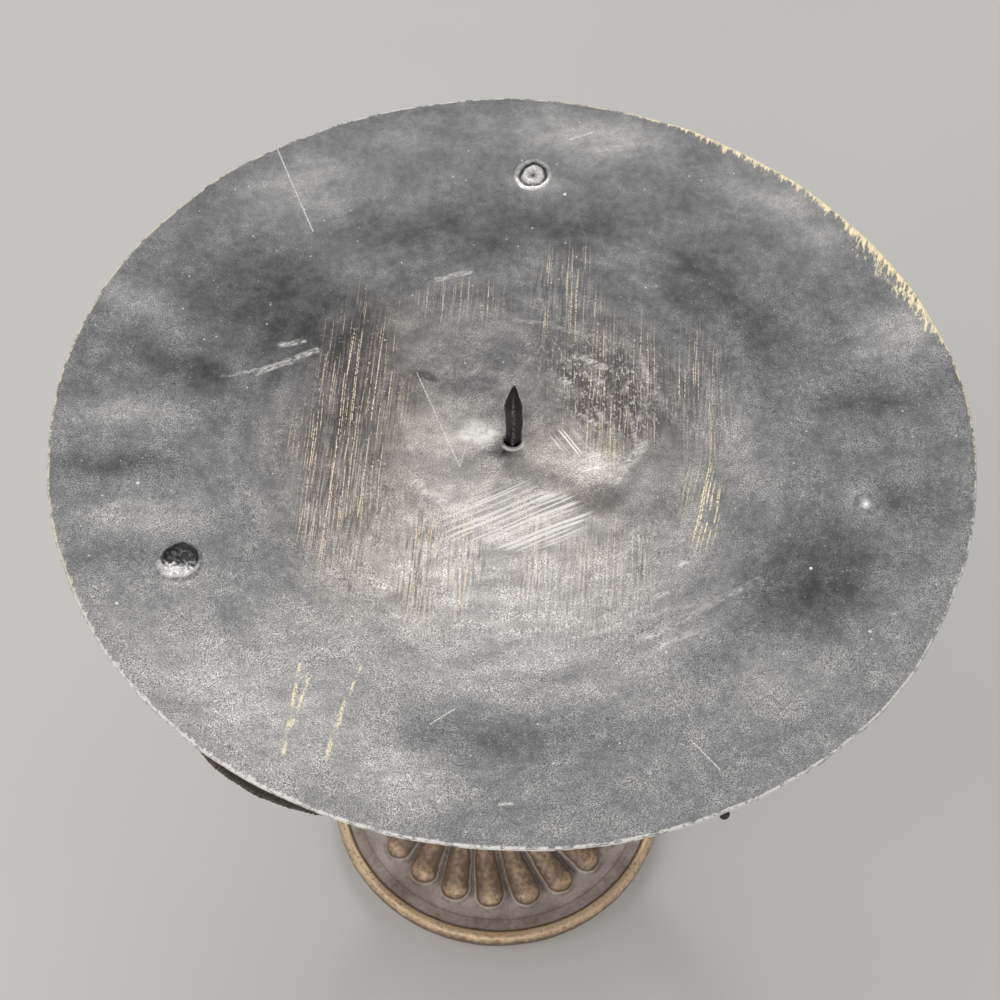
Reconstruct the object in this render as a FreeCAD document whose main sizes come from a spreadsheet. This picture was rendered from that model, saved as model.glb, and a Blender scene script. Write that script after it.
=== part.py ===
import FreeCAD, Part
import math
import os
import re

import Sketcher

V = FreeCAD.Vector
UP = V(0, 0, 1)

# Driving dimensions of the candle stand, in millimetres, degrees and counts
SIZES = {
    # Drip pan: a dished disc of sheet steel with a flat middle
    "pan_radius": 127.0,
    "pan_rim_height": 228.0,
    "pan_dish_depth": 7.6,
    "pan_flat_radius": 34.0,
    "pan_sheet": 1.5,
    # Pricket: a square forged nail whose head is trapped under the pan
    "pricket_height": 24.6,
    "pricket_point_length": 9.0,
    "pricket_root_side": 3.4,
    "pricket_shoulder_side": 4.0,
    "pricket_tip_side": 0.6,
    "pricket_turn": 42.0,
    "pricket_head_thickness": 2.0,
    "pricket_ledge": 1.5,
    "pricket_hole_gap": 0.5,
    "pricket_seat_gap": 0.3,
    # Plug welds that hold the pan on the tops of the arms
    "weld_rear_radius": 3.2,
    "weld_left_radius": 4.6,
    "weld_right_radius": 2.2,
    "weld_crown": 0.6,
    "weld_crater": 0.5,
    # Scroll arms: flat bar with a long bow that closes in a volute at the stem
    "arm_weld_inset": 29.0,
    "arm_rear_azimuth": 88.3,
    "arm_left_azimuth": 208.6,
    "arm_right_azimuth": 348.8,
    "bar_width": 10.0,
    "bar_thickness": 5.0,
    "bow_radius": 179.2,
    "volute_radius": 22.0,
    "volute_gap": 6.0,
    "volute_last_turn": 135.0,
    "volute_eye_radius": 4.0,
    # Rivets that hold the arms on the hub
    "rivet_radius": 2.0,
    "rivet_head_radius": 3.5,
    "rivet_head_height": 2.3,
    "rivet_grip": 8.0,
    "rivet_gap": 0.05,
    # Stem: turned castings on one tie rod
    "rod_radius": 3.0,
    "rod_gap": 0.3,
    "rod_end": 1.2,
    "neck_ring_height": 6.0,
    "neck_ring_bulge": 2.6,
    "hub_radius": 16.0,
    "hub_height": 16.0,
    "hub_flat_depth": 1.0,
    "knop_height": 18.0,
    "knop_radius": 16.0,
    "knop_end_radius": 9.0,
    "knop_lip": 1.2,
    "vase_end_radius": 10.0,
    "vase_lip": 3.0,
    "vase_cove": 2.0,
    "vase_waist_radius": 7.5,
    "vase_belly_bulge": 8.5,
    "vase_shoulder_radius": 10.5,
    "vase_belly_share": 0.5,
    "vase_taper_hollow": 1.6,
    "upper_ring_height": 6.0,
    "upper_ring_bulge": 2.6,
    "cup_height": 41.0,
    "cup_flange_radius": 30.0,
    "cup_flange_thickness": 3.0,
    "cup_hollow": 6.0,
    # Nuts and washers on the rod
    "nut_across_flats": 10.0,
    "nut_height": 5.0,
    "nut_gap": 0.05,
    "washer_margin": 0.5,
    "washer_thickness": 1.2,
    "lock_washer_thickness": 1.6,
    "lock_washer_slot": 1.5,
    "recess_gap": 0.5,
    "recess_headroom": 0.8,
    # Foot: a heavy casting with a rim bead, a ledge and swirled gadroons
    "foot_radius": 59.3,
    "foot_height": 40.0,
    "foot_edge_height": 6.14,
    "foot_edge_taper": 1.6,
    "foot_bead_radius": 2.2,
    "foot_bead_stand": 1.0,
    "foot_ledge_width": 7.8,
    "foot_neck_radius": 13.5,
    "foot_neck_height": 3.0,
    "foot_dome_hollow": 5.7,
    "foot_recess_radius": 40.0,
    "foot_recess_slant": 18.0,
    "foot_recess_depth": 10.0,
    "gadroon_count": 21,
    "gadroon_phase": 268.4,
    "gadroon_swirl": 9.5,
    "gadroon_inset": 6.1,
    "gadroon_length": 18.0,
    "gadroon_blunt_radius": 5.8,
    "gadroon_tip_radius": 3.2,
    "gadroon_blunt_proud": 3.8,
    "gadroon_tip_proud": 2.0,
    # Rubber bumpers under the foot
    "bumper_count": 4,
    "bumper_height": 2.0,
    "bumper_radius": 5.0,
    "bumper_taper": 0.8,
}

# Places and sizes that follow from the driving dimensions
FOLLOWING = {
    "pan_middle": "pan_rim_height - pan_dish_depth",
    "pan_under": "pan_middle - pan_sheet",
    "pan_span": "pan_radius - pan_flat_radius",
    "pan_curve": "(pan_span^2 + pan_dish_depth^2) / (2 * pan_dish_depth)",
    "pan_lower_curve": "pan_curve + pan_sheet",
    "pan_hole_radius": "pricket_root_side / sqrt(2) + pricket_hole_gap",
    "arm_weld_distance": "pan_radius - arm_weld_inset",
    "rod_bore": "rod_radius + rod_gap",
    "neck_ring_bottom": "foot_height",
    "hub_bottom": "neck_ring_bottom + neck_ring_height",
    "hub_middle": "hub_bottom + hub_height / 2",
    "hub_flat_distance": "hub_radius - hub_flat_depth",
    "knop_bottom": "hub_bottom + hub_height",
    "vase_bottom": "knop_bottom + knop_height",
    "cup_bottom": "pan_under - cup_height",
    "upper_ring_bottom": "cup_bottom - upper_ring_height",
    "vase_waist": "vase_bottom + vase_lip + vase_cove",
    "vase_neck": "upper_ring_bottom - vase_lip - vase_cove",
    "vase_shoulder": "vase_waist + vase_belly_share * (vase_neck - vase_waist)",
    "nut_corner_radius": "nut_across_flats / sqrt(3)",
    "washer_radius": "nut_corner_radius + washer_margin",
    "recess_radius": "washer_radius + recess_gap",
    "pricket_head_radius": "recess_radius + pricket_ledge",
    "pricket_seat": "pan_under - pricket_head_thickness",
    "rod_top": "pricket_seat - recess_headroom",
    "top_nut_bottom": "rod_top - rod_end - nut_height",
    "recess_bottom": "top_nut_bottom - washer_thickness",
    "foot_ceiling": "bumper_height + foot_recess_depth",
    "foot_washer_bottom": "foot_ceiling - washer_thickness",
    "lock_washer_bottom": "foot_washer_bottom - lock_washer_thickness",
    "foot_nut_bottom": "lock_washer_bottom - nut_height",
    "rod_bottom": "foot_nut_bottom - rod_end",
    "foot_bead_distance": "foot_radius - foot_bead_radius",
    "foot_bead_middle": "bumper_height + foot_edge_height",
    "foot_bead_rise": "foot_bead_radius - foot_bead_stand",
    "foot_ledge_outer": "foot_bead_distance - sqrt(foot_bead_radius^2 - foot_bead_rise^2)",
    "foot_ledge_height": "foot_bead_middle + foot_bead_rise",
    "foot_dome_radius": "foot_ledge_outer - foot_ledge_width",
    "foot_dome_top": "foot_height - foot_neck_height",
    "bumper_distance": "(foot_recess_radius + foot_bead_distance) / 2",
    "volute_distance": "hub_flat_distance + volute_radius",
    "volute_step": "(bar_thickness + volute_gap) / 2",
}

# The bow is drawn this much too long at the top, and the pan's underside trims it
BOW_TRIM = 14.0
ARM_SIDES = ("rear", "left", "right")

doc = FreeCAD.newDocument("candle_stand")
sheet = doc.addObject("Spreadsheet::Sheet", "stand")
for row, (alias, amount) in enumerate(SIZES.items(), start=1):
    sheet.set(f"A{row}", alias)
    sheet.set(f"B{row}", str(amount))
    sheet.setAlias(f"B{row}", alias)
doc.recompute()

pieces = []


def bound(text):
    """Write a formula of size names as an expression on the sheet's cells."""

    def cell(match):
        word = match.group(0)
        if word in FOLLOWING:
            return "(" + bound(FOLLOWING[word]) + ")"
        if word in SIZES:
            return "stand." + word
        return word

    return re.sub(r"[a-z][a-z0-9_]*", cell, text)


def size(text):
    """Work out a formula of size names as a number."""
    return float(sheet.evalExpression(bound(text)))


def bind(feature, **formulas):
    """Bind properties of a feature to formulas of size names."""
    for name, text in formulas.items():
        feature.setExpression(name, bound(text))


def piece(feature, label):
    """Name a finished piece and keep it for the hand-over."""
    feature.Label = label
    pieces.append(feature)
    return feature


def around_axis(azimuth, distance=0.0, height=0.0, across=0.0):
    """Placement turned to an azimuth about the stand's axis, with a shift in that direction."""
    turn = FreeCAD.Rotation(UP, azimuth)
    return FreeCAD.Placement(turn.multVec(V(distance, across, height)), turn)


# Sketch helpers

def plane_sketch(body, name, plane_role):
    """Empty sketch on one of the body's own origin planes."""
    sketch = body.newObject("Sketcher::SketchObject", name)
    plane = next(part for part in body.Origin.OriginFeatures if part.Role == plane_role)
    sketch.AttachmentSupport = (plane, [""])
    sketch.MapMode = "FlatFace"
    return sketch


def swell(rise):
    """An edge that stands out from its chord by the rise."""
    return {"side": 1, "rise": rise}


def hollow(rise):
    """An edge that draws in from its chord by the rise."""
    return {"side": -1, "rise": rise}


def rounded(radius, side=1):
    """An edge that is an arc of the given radius, under a half circle."""
    return {"side": side, "radius": radius}


def arc_radius(start, end, curve):
    """Formula for the radius of an edge between two corners of a profile."""
    if "radius" in curve:
        return curve["radius"]
    chord = f"(({end[0]}) - ({start[0]}))^2 + (({end[1]}) - ({start[1]}))^2"
    return f"({chord}) / (8 * ({curve['rise']})) + ({curve['rise']}) / 2"


def arc_edge(start, end, radius, curve):
    """Arc between two points that bulges to the right of the way (side 1) or to the left (side -1)."""
    way = end - start
    half = way.Length / 2
    sign = 1 if "radius" in curve or size(curve["rise"]) < radius else -1
    back = sign * math.sqrt(max(radius ** 2 - half ** 2, 0.0))
    right = V(way.y, -way.x, 0).normalize()
    centre = (start + end) / 2 - right * back * curve["side"]
    first, last = (start, end) if curve["side"] > 0 else (end, start)
    angles = [math.atan2(point.y - centre.y, point.x - centre.x) for point in (first, last)]
    if angles[1] <= angles[0]:
        angles[1] += 2 * math.pi
    return Part.ArcOfCircle(Part.Circle(centre, UP, radius), angles[0], angles[1])


def pin_point(sketch, edge, end, across, height):
    """Fix an end of an edge at formulas for its two sketch coordinates."""
    for kind, text, axis in (("DistanceX", across, -2), ("DistanceY", height, -1)):
        if text == "0":
            sketch.addConstraint(Sketcher.Constraint("PointOnObject", edge, end, axis))
            continue
        index = sketch.addConstraint(Sketcher.Constraint(kind, -1, 1, edge, end, size(text)))
        sketch.setExpression(f"Constraints[{index}]", bound(text))


def draw_profile(sketch, corners):
    """Closed outline, counter-clockwise, through corners of (across, height).

    A corner whose edge to the next one is an arc holds that curve as well.
    """
    points = [V(size(corner[0]), size(corner[1]), 0) for corner in corners]
    ends = []
    for index, corner in enumerate(corners):
        after = (index + 1) % len(corners)
        if len(corner) == 2:
            sketch.addGeometry(Part.LineSegment(points[index], points[after]))
            ends.append((1, 2))
            continue
        curve = corner[2]
        radius = arc_radius(corner, corners[after], curve)
        sketch.addGeometry(arc_edge(points[index], points[after], size(radius), curve))
        ends.append((1, 2) if curve["side"] > 0 else (2, 1))
    for index in range(len(corners)):
        before = index - 1 if index else len(corners) - 1
        meeting = (before, ends[before][1], index, ends[index][0])
        sketch.addConstraint(Sketcher.Constraint("Coincident", *meeting))
    for index, corner in enumerate(corners):
        pin_point(sketch, index, ends[index][0], corner[0], corner[1])
    for index, corner in enumerate(corners):
        if len(corner) == 3:
            radius = arc_radius(corner, corners[(index + 1) % len(corners)], corner[2])
            limit = sketch.addConstraint(Sketcher.Constraint("Radius", index, size(radius)))
            sketch.setExpression(f"Constraints[{limit}]", bound(radius))


def turned(name, corners):
    """Body turned about the upright axis from a profile of (radius, height) corners."""
    body = doc.addObject("PartDesign::Body", name)
    sketch = plane_sketch(body, name + "_profile", "XZ_Plane")
    draw_profile(sketch, corners)
    doc.recompute()
    turning = body.newObject("PartDesign::Revolution", name + "_turning")
    turning.Profile = sketch
    turning.ReferenceAxis = (sketch, ["V_Axis"])
    turning.Angle = 360
    doc.recompute()
    return body


def cylinder(name, radius, height, placement):
    """Part cylinder bound to formulas for its radius and height."""
    round_bar = doc.addObject("Part::Cylinder", name)
    bind(round_bar, Radius=radius, Height=height)
    round_bar.Placement = placement
    return round_bar


def compound(name, members):
    """Group of separate solids."""
    group = doc.addObject("Part::Compound", name)
    group.Links = members
    return group


def cut(name, base, tool):
    """Base solid less the tool solid."""
    result = doc.addObject("Part::Cut", name)
    result.Base = base
    result.Tool = tool
    return result


# Drip pan

def pan_surface(curve, distance):
    """Formula for the height of one of the pan's two faces at a distance from the axis."""
    return f"pan_middle + pan_curve - sqrt(({curve})^2 - ({distance} - pan_flat_radius)^2)"


def make_pan():
    """Dished disc with a hole for the pricket and one for each plug weld."""
    disc = turned("pan_disc", [
        ("pan_hole_radius", "pan_under"),
        ("pan_flat_radius", "pan_under", rounded("pan_lower_curve")),
        ("pan_radius", pan_surface("pan_lower_curve", "pan_radius")),
        ("pan_radius", "pan_rim_height", rounded("pan_curve", -1)),
        ("pan_flat_radius", "pan_middle"),
        ("pan_hole_radius", "pan_middle"),
    ])
    holes = []
    for side in ARM_SIDES:
        place = around_axis(size(f"arm_{side}_azimuth"), size("arm_weld_distance"), size("pan_under"))
        depth = "pan_dish_depth + 2 * pan_sheet"
        holes.append(cylinder(f"weld_hole_{side}", f"weld_{side}_radius", depth, place))
    piece(cut("pan_with_holes", disc, compound("weld_holes", holes)), "drip_pan")


def make_headspace():
    """All the space above the pan's underside, which trims the arms and seats the welds."""
    return turned("headspace", [
        ("0", "pan_under"),
        ("pan_flat_radius", "pan_under", rounded("pan_lower_curve")),
        ("pan_radius", pan_surface("pan_lower_curve", "pan_radius")),
        ("pan_radius", "pan_rim_height + pricket_height"),
        ("0", "pan_rim_height + pricket_height"),
    ])


def make_welds(headspace):
    """Weld nuggets that fill the pan's weld holes, each with a raised ring round a crater."""
    crown = pan_surface("pan_curve", "arm_weld_distance") + " + weld_crown"
    for side in ARM_SIDES:
        radius = f"weld_{side}_radius"
        bead = turned(f"weld_bead_{side}", [
            ("0", "pan_under"),
            (radius, "pan_under"),
            (radius, f"{crown} - weld_crater / 2", swell("weld_crater / 4")),
            (f"{radius} / 2", crown, hollow("weld_crater / 4")),
            ("0", f"{crown} - weld_crater"),
        ])
        bead.Placement = around_axis(size(f"arm_{side}_azimuth"), size("arm_weld_distance"))
        nugget = doc.addObject("Part::Common", f"weld_nugget_{side}")
        nugget.Base = bead
        nugget.Tool = headspace
        piece(nugget, f"pan_weld_{side}")


# Pricket

def square_sketch(body, name, side, height):
    """Square across the stand's axis at a height."""
    sketch = plane_sketch(body, name, "XY_Plane")
    sketch.setExpression("AttachmentOffset.Base.z", bound(height))
    half = size(side) / 2
    corners = [V(-half, -half, 0), V(half, -half, 0), V(half, half, 0), V(-half, half, 0)]
    for index, corner in enumerate(corners):
        sketch.addGeometry(Part.LineSegment(corner, corners[(index + 1) % len(corners)]))
    for index in range(len(corners)):
        after = (index + 1) % len(corners)
        sketch.addConstraint(Sketcher.Constraint("Coincident", index, 2, after, 1))
        level = "Vertical" if index % 2 else "Horizontal"
        sketch.addConstraint(Sketcher.Constraint(level, index))
    sketch.addConstraint(Sketcher.Constraint("Symmetric", 0, 1, 2, 1, -1, 1))
    for kind, edge in (("DistanceX", 0), ("DistanceY", 1)):
        width = sketch.addConstraint(Sketcher.Constraint(kind, edge, 1, edge, 2, size(side)))
        sketch.setExpression(f"Constraints[{width}]", bound(side))
    return sketch


def make_pricket():
    """Nail with a round head below the pan, a square shank that widens upwards and a pyramid point."""
    body = turned("pricket", [
        ("0", "pricket_seat"),
        ("pricket_head_radius", "pricket_seat"),
        ("pricket_head_radius", "pan_under"),
        ("0", "pan_under"),
    ])
    tip_height = "pan_middle + pricket_height"
    levels = (
        ("root", "pricket_root_side", "pan_under"),
        ("shoulder", "pricket_shoulder_side", f"{tip_height} - pricket_point_length"),
        ("tip", "pricket_tip_side", tip_height),
    )
    for lower, upper in zip(levels, levels[1:]):
        profiles = []
        for name, side, height in (lower, upper):
            profiles.append(square_sketch(body, f"{name}_of_{lower[0]}_{upper[0]}", side, height))
        doc.recompute()
        shank = body.newObject("PartDesign::AdditiveLoft", f"{lower[0]}_to_{upper[0]}")
        shank.Profile = profiles[0]
        shank.Sections = [profiles[1]]
        shank.Ruled = True
        doc.recompute()
    body.Placement = around_axis(size("pricket_turn"))
    piece(body, "pricket_spike")


# Scroll arms

def arm_arcs():
    """Middle line of an arm as arcs, turning clockwise: centre, radius, first and last angle, radius formula.

    The bow passes through the weld and closes into the volute, which touches the hub.
    """
    weld = V(size("arm_weld_distance"), size(pan_surface("pan_lower_curve", "arm_weld_distance")), 0)
    volute = V(size("volute_distance"), size("hub_middle"), 0)
    bow = size("bow_radius")
    step = size("volute_step")
    first_radius = size("volute_radius - bar_thickness / 2")
    # The bow's centre lies a bow radius from the weld, and that less the volute's radius from the volute
    reach = volute - weld
    to_volute = bow - first_radius
    along = (bow ** 2 - to_volute ** 2 + reach.Length ** 2) / (2 * reach.Length)
    aside = math.sqrt(bow ** 2 - along ** 2)
    inward = V(reach.y, -reach.x, 0).normalize()
    centre = weld + reach * (along / reach.Length) + inward * aside
    meeting = math.degrees(math.atan2(volute.y - centre.y, volute.x - centre.x))
    start = math.degrees(math.atan2(weld.y - centre.y, weld.x - centre.x) + BOW_TRIM / bow)
    inner = volute - V(step, 0, 0)
    return [
        (centre, bow, start, meeting, "bow_radius"),
        (volute, first_radius, meeting, -180.0, "volute_radius - bar_thickness / 2"),
        (inner, first_radius - step, -180.0, -360.0, "volute_radius - bar_thickness / 2 - volute_step"),
        (volute, first_radius - 2 * step, -360.0, -360.0 - size("volute_last_turn"),
         "volute_radius - bar_thickness / 2 - 2 * volute_step"),
    ]


def on_arc(centre, radius, angle):
    """Point of a circle at an angle in degrees."""
    turn = math.radians(angle)
    return centre + V(math.cos(turn), math.sin(turn), 0) * radius


def draw_bar(sketch, arcs):
    """Outline of a bar of even thickness that follows the arcs."""
    half = size("bar_thickness") / 2
    edges = []
    for centre, radius, first, last, formula in arcs:
        edges.append((centre, radius + half, first, last, f"{formula} + bar_thickness / 2"))
    for centre, radius, first, last, formula in reversed(arcs):
        edges.append((centre, radius - half, last, first, f"{formula} - bar_thickness / 2"))
    turn_back = len(arcs)
    joints = []
    for index, (centre, radius, first, last, formula) in enumerate(edges):
        if index in (0, turn_back):
            before = edges[index - 1]
            old_end = on_arc(before[0], before[1], before[3])
            line = sketch.addGeometry(Part.LineSegment(old_end, on_arc(centre, radius, first)))
            joints.append((line, 1, 2))
        low, high = sorted((math.radians(first), math.radians(last)))
        arc = sketch.addGeometry(Part.ArcOfCircle(Part.Circle(centre, UP, radius), low, high))
        joints.append((arc, 2, 1) if last < first else (arc, 1, 2))
        limit = sketch.addConstraint(Sketcher.Constraint("Radius", arc, radius))
        sketch.setExpression(f"Constraints[{limit}]", bound(formula))
    for index, joint in enumerate(joints):
        before = joints[index - 1]
        sketch.addConstraint(Sketcher.Constraint("Coincident", before[0], before[2], joint[0], joint[1]))


def pad_both_ways(body, sketch, name):
    """Pad of the bar's width, half on each side of the sketch."""
    pad = body.newObject("PartDesign::Pad", name)
    pad.Profile = sketch
    pad.Midplane = True
    bind(pad, Length="bar_width")
    doc.recompute()
    return pad


def make_arm(side, headspace):
    """Bowed bar with a volute, a rolled eye and a rivet hole, trimmed to the pan's underside."""
    arcs = arm_arcs()
    body = doc.addObject("PartDesign::Body", f"bar_{side}")
    outline = plane_sketch(body, f"bar_outline_{side}", "XZ_Plane")
    draw_bar(outline, arcs)
    doc.recompute()
    pad_both_ways(body, outline, f"bar_pad_{side}")
    eye = plane_sketch(body, f"eye_outline_{side}", "XZ_Plane")
    centre, radius, first, last, formula = arcs[-1]
    eye.addGeometry(Part.Circle(on_arc(centre, radius, last), UP, size("volute_eye_radius")))
    limit = eye.addConstraint(Sketcher.Constraint("Radius", 0, size("volute_eye_radius")))
    eye.setExpression(f"Constraints[{limit}]", bound("volute_eye_radius"))
    doc.recompute()
    pad_both_ways(body, eye, f"eye_pad_{side}")
    hole = plane_sketch(body, f"rivet_hole_outline_{side}", "YZ_Plane")
    hole.addGeometry(Part.Circle(V(0, size("hub_middle"), 0), UP, size("rivet_radius + rivet_gap")))
    hole.addConstraint(Sketcher.Constraint("PointOnObject", 0, 3, -2))
    for constraint, text in (
        (Sketcher.Constraint("DistanceY", -1, 1, 0, 3, size("hub_middle")), "hub_middle"),
        (Sketcher.Constraint("Radius", 0, size("rivet_radius + rivet_gap")), "rivet_radius + rivet_gap"),
    ):
        index = hole.addConstraint(constraint)
        hole.setExpression(f"Constraints[{index}]", bound(text))
    doc.recompute()
    drilled = body.newObject("PartDesign::Pocket", f"rivet_hole_{side}")
    drilled.Profile = hole
    drilled.Reversed = True
    bind(drilled, Length="hub_flat_distance + bar_thickness + volute_gap / 2")
    doc.recompute()
    body.Placement = around_axis(size(f"arm_{side}_azimuth"))
    piece(cut(f"trimmed_bar_{side}", body, headspace), f"scroll_arm_{side}")


def make_rivets():
    """One rivet an arm, driven from inside the volute into the hub."""
    # The flat head seats on the hollow of the volute, where its rim meets the bar
    inner = "volute_radius - bar_thickness"
    head_seat = f"volute_distance - sqrt(({inner})^2 - rivet_head_radius^2)"
    shank = f"{head_seat} - hub_flat_distance + rivet_grip"
    dome = "(rivet_head_radius^2 + rivet_head_height^2) / (2 * rivet_head_height)"
    rivets = []
    for side in ARM_SIDES:
        rivet = turned(f"rivet_{side}", [
            ("0", "0"),
            ("rivet_radius", "0"),
            ("rivet_radius", shank),
            ("rivet_head_radius", shank, rounded(dome)),
            ("0", f"{shank} + rivet_head_height"),
        ])
        lying = FreeCAD.Placement(V(), FreeCAD.Rotation(V(0, 1, 0), 90))
        start = size("hub_flat_distance - rivet_grip")
        rivet.Placement = around_axis(size(f"arm_{side}_azimuth"), start, size("hub_middle")) * lying
        rivets.append(rivet)
    piece(compound("rivets", rivets), "arm_rivets")


# Stem

def ring(name, inner, outer, bottom, height):
    """Corners of a plain ring."""
    top = f"{bottom} + {height}"
    return turned(name, [(inner, bottom), (outer, bottom), (outer, top), (inner, top)])


def make_hub():
    """Drum with a flat and a rivet hole for each arm."""
    drum = ring("hub_drum", "rod_bore", "hub_radius", "hub_bottom", "hub_height")
    tools = []
    for side in ARM_SIDES:
        azimuth = size(f"arm_{side}_azimuth")
        flat = doc.addObject("Part::Box", f"hub_flat_{side}")
        bind(flat, Length="hub_flat_depth + hub_radius", Width="2 * hub_radius", Height="hub_height")
        flat.Placement = around_axis(
            azimuth, size("hub_flat_distance"), size("hub_bottom"), -size("hub_radius"))
        lying = FreeCAD.Placement(V(), FreeCAD.Rotation(V(0, 1, 0), 90))
        start = size("hub_flat_distance - rivet_grip")
        place = around_axis(azimuth, start, size("hub_middle")) * lying
        depth = "rivet_grip + hub_flat_depth"
        drilled = cylinder(f"hub_hole_{side}", "rivet_radius + rivet_gap", depth, place)
        tools += [flat, drilled]
    piece(cut("hub_with_flats", drum, compound("hub_cuts", tools)), "arm_hub")


def make_stem():
    """Turned castings between the foot and the pan."""
    piece(turned("neck_ring_turned", [
        ("rod_bore", "neck_ring_bottom"),
        ("foot_neck_radius", "neck_ring_bottom", swell("neck_ring_bulge")),
        ("foot_neck_radius", "hub_bottom"),
        ("rod_bore", "hub_bottom"),
    ]), "neck_ring")
    piece(turned("knop_turned", [
        ("rod_bore", "knop_bottom"),
        ("knop_end_radius", "knop_bottom"),
        ("knop_end_radius", "knop_bottom + knop_lip", swell("knop_radius - knop_end_radius")),
        ("knop_end_radius", "vase_bottom - knop_lip"),
        ("knop_end_radius", "vase_bottom"),
        ("rod_bore", "vase_bottom"),
    ]), "lower_knop")
    piece(turned("vase_turned", [
        ("rod_bore", "vase_bottom"),
        ("vase_end_radius", "vase_bottom"),
        ("vase_end_radius", "vase_bottom + vase_lip"),
        ("vase_waist_radius", "vase_waist", swell("vase_belly_bulge")),
        ("vase_shoulder_radius", "vase_shoulder", hollow("vase_taper_hollow")),
        ("vase_waist_radius", "vase_neck"),
        ("vase_end_radius", "upper_ring_bottom - vase_lip"),
        ("vase_end_radius", "upper_ring_bottom"),
        ("rod_bore", "upper_ring_bottom"),
    ]), "stem_vase")
    piece(turned("upper_ring_turned", [
        ("rod_bore", "upper_ring_bottom"),
        ("vase_end_radius", "upper_ring_bottom", swell("upper_ring_bulge")),
        ("vase_end_radius", "cup_bottom"),
        ("rod_bore", "cup_bottom"),
    ]), "upper_ring")
    seat_radius = "pricket_head_radius + pricket_seat_gap"
    piece(turned("cup_turned", [
        ("rod_bore", "cup_bottom"),
        ("vase_end_radius", "cup_bottom", hollow("cup_hollow")),
        ("cup_flange_radius", "pan_under - cup_flange_thickness"),
        ("cup_flange_radius", "pan_under"),
        (seat_radius, "pan_under"),
        (seat_radius, "pricket_seat"),
        ("recess_radius", "pricket_seat"),
        ("recess_radius", "recess_bottom"),
        ("rod_bore", "recess_bottom"),
    ]), "pan_cup")


def make_nut(name, bottom):
    """Hexagon nut on the rod."""
    prism = doc.addObject("Part::Prism", name + "_hexagon")
    prism.Polygon = 6
    bind(prism, Circumradius="nut_corner_radius", Height="nut_height")
    prism.Placement = around_axis(0, 0, size(bottom))
    bore = cylinder(name + "_bore", "rod_radius + nut_gap", "nut_height", prism.Placement)
    piece(cut(name + "_bored", prism, bore), name)


def make_rod():
    """Tie rod with its nuts and washers."""
    rod = cylinder("rod", "rod_radius", "rod_top - rod_bottom", around_axis(0, 0, size("rod_bottom")))
    piece(rod, "tie_rod")
    make_nut("top_nut", "top_nut_bottom")
    make_nut("foot_nut", "foot_nut_bottom")
    for name, bottom in (("top_washer", "recess_bottom"), ("foot_washer", "foot_washer_bottom")):
        piece(ring(name + "_ring", "rod_bore", "washer_radius", bottom, "washer_thickness"), name)
    coil = ring("lock_ring", "rod_bore", "washer_radius", "lock_washer_bottom", "lock_washer_thickness")
    slot = doc.addObject("Part::Box", "lock_slot")
    bind(slot, Length="washer_radius", Width="lock_washer_slot", Height="lock_washer_thickness")
    slot.Placement = around_axis(0, 0, size("lock_washer_bottom"), -size("lock_washer_slot") / 2)
    piece(cut("lock_ring_slotted", coil, slot), "foot_lock_washer")


# Foot

def dome_height(distance):
    """Height of the foot's hollow dome at a distance from the axis, as a number."""
    low = V(size("foot_dome_radius"), size("foot_ledge_height"), 0)
    high = V(size("foot_neck_radius"), size("foot_dome_top"), 0)
    rise = size("foot_dome_hollow")
    chord = high - low
    radius = chord.Length ** 2 / (8 * rise) + rise / 2
    outward = V(chord.y, -chord.x, 0).normalize()
    centre = (low + high) / 2 + outward * (radius - rise)
    return centre.y - math.sqrt(radius ** 2 - (distance - centre.x) ** 2)


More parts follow.
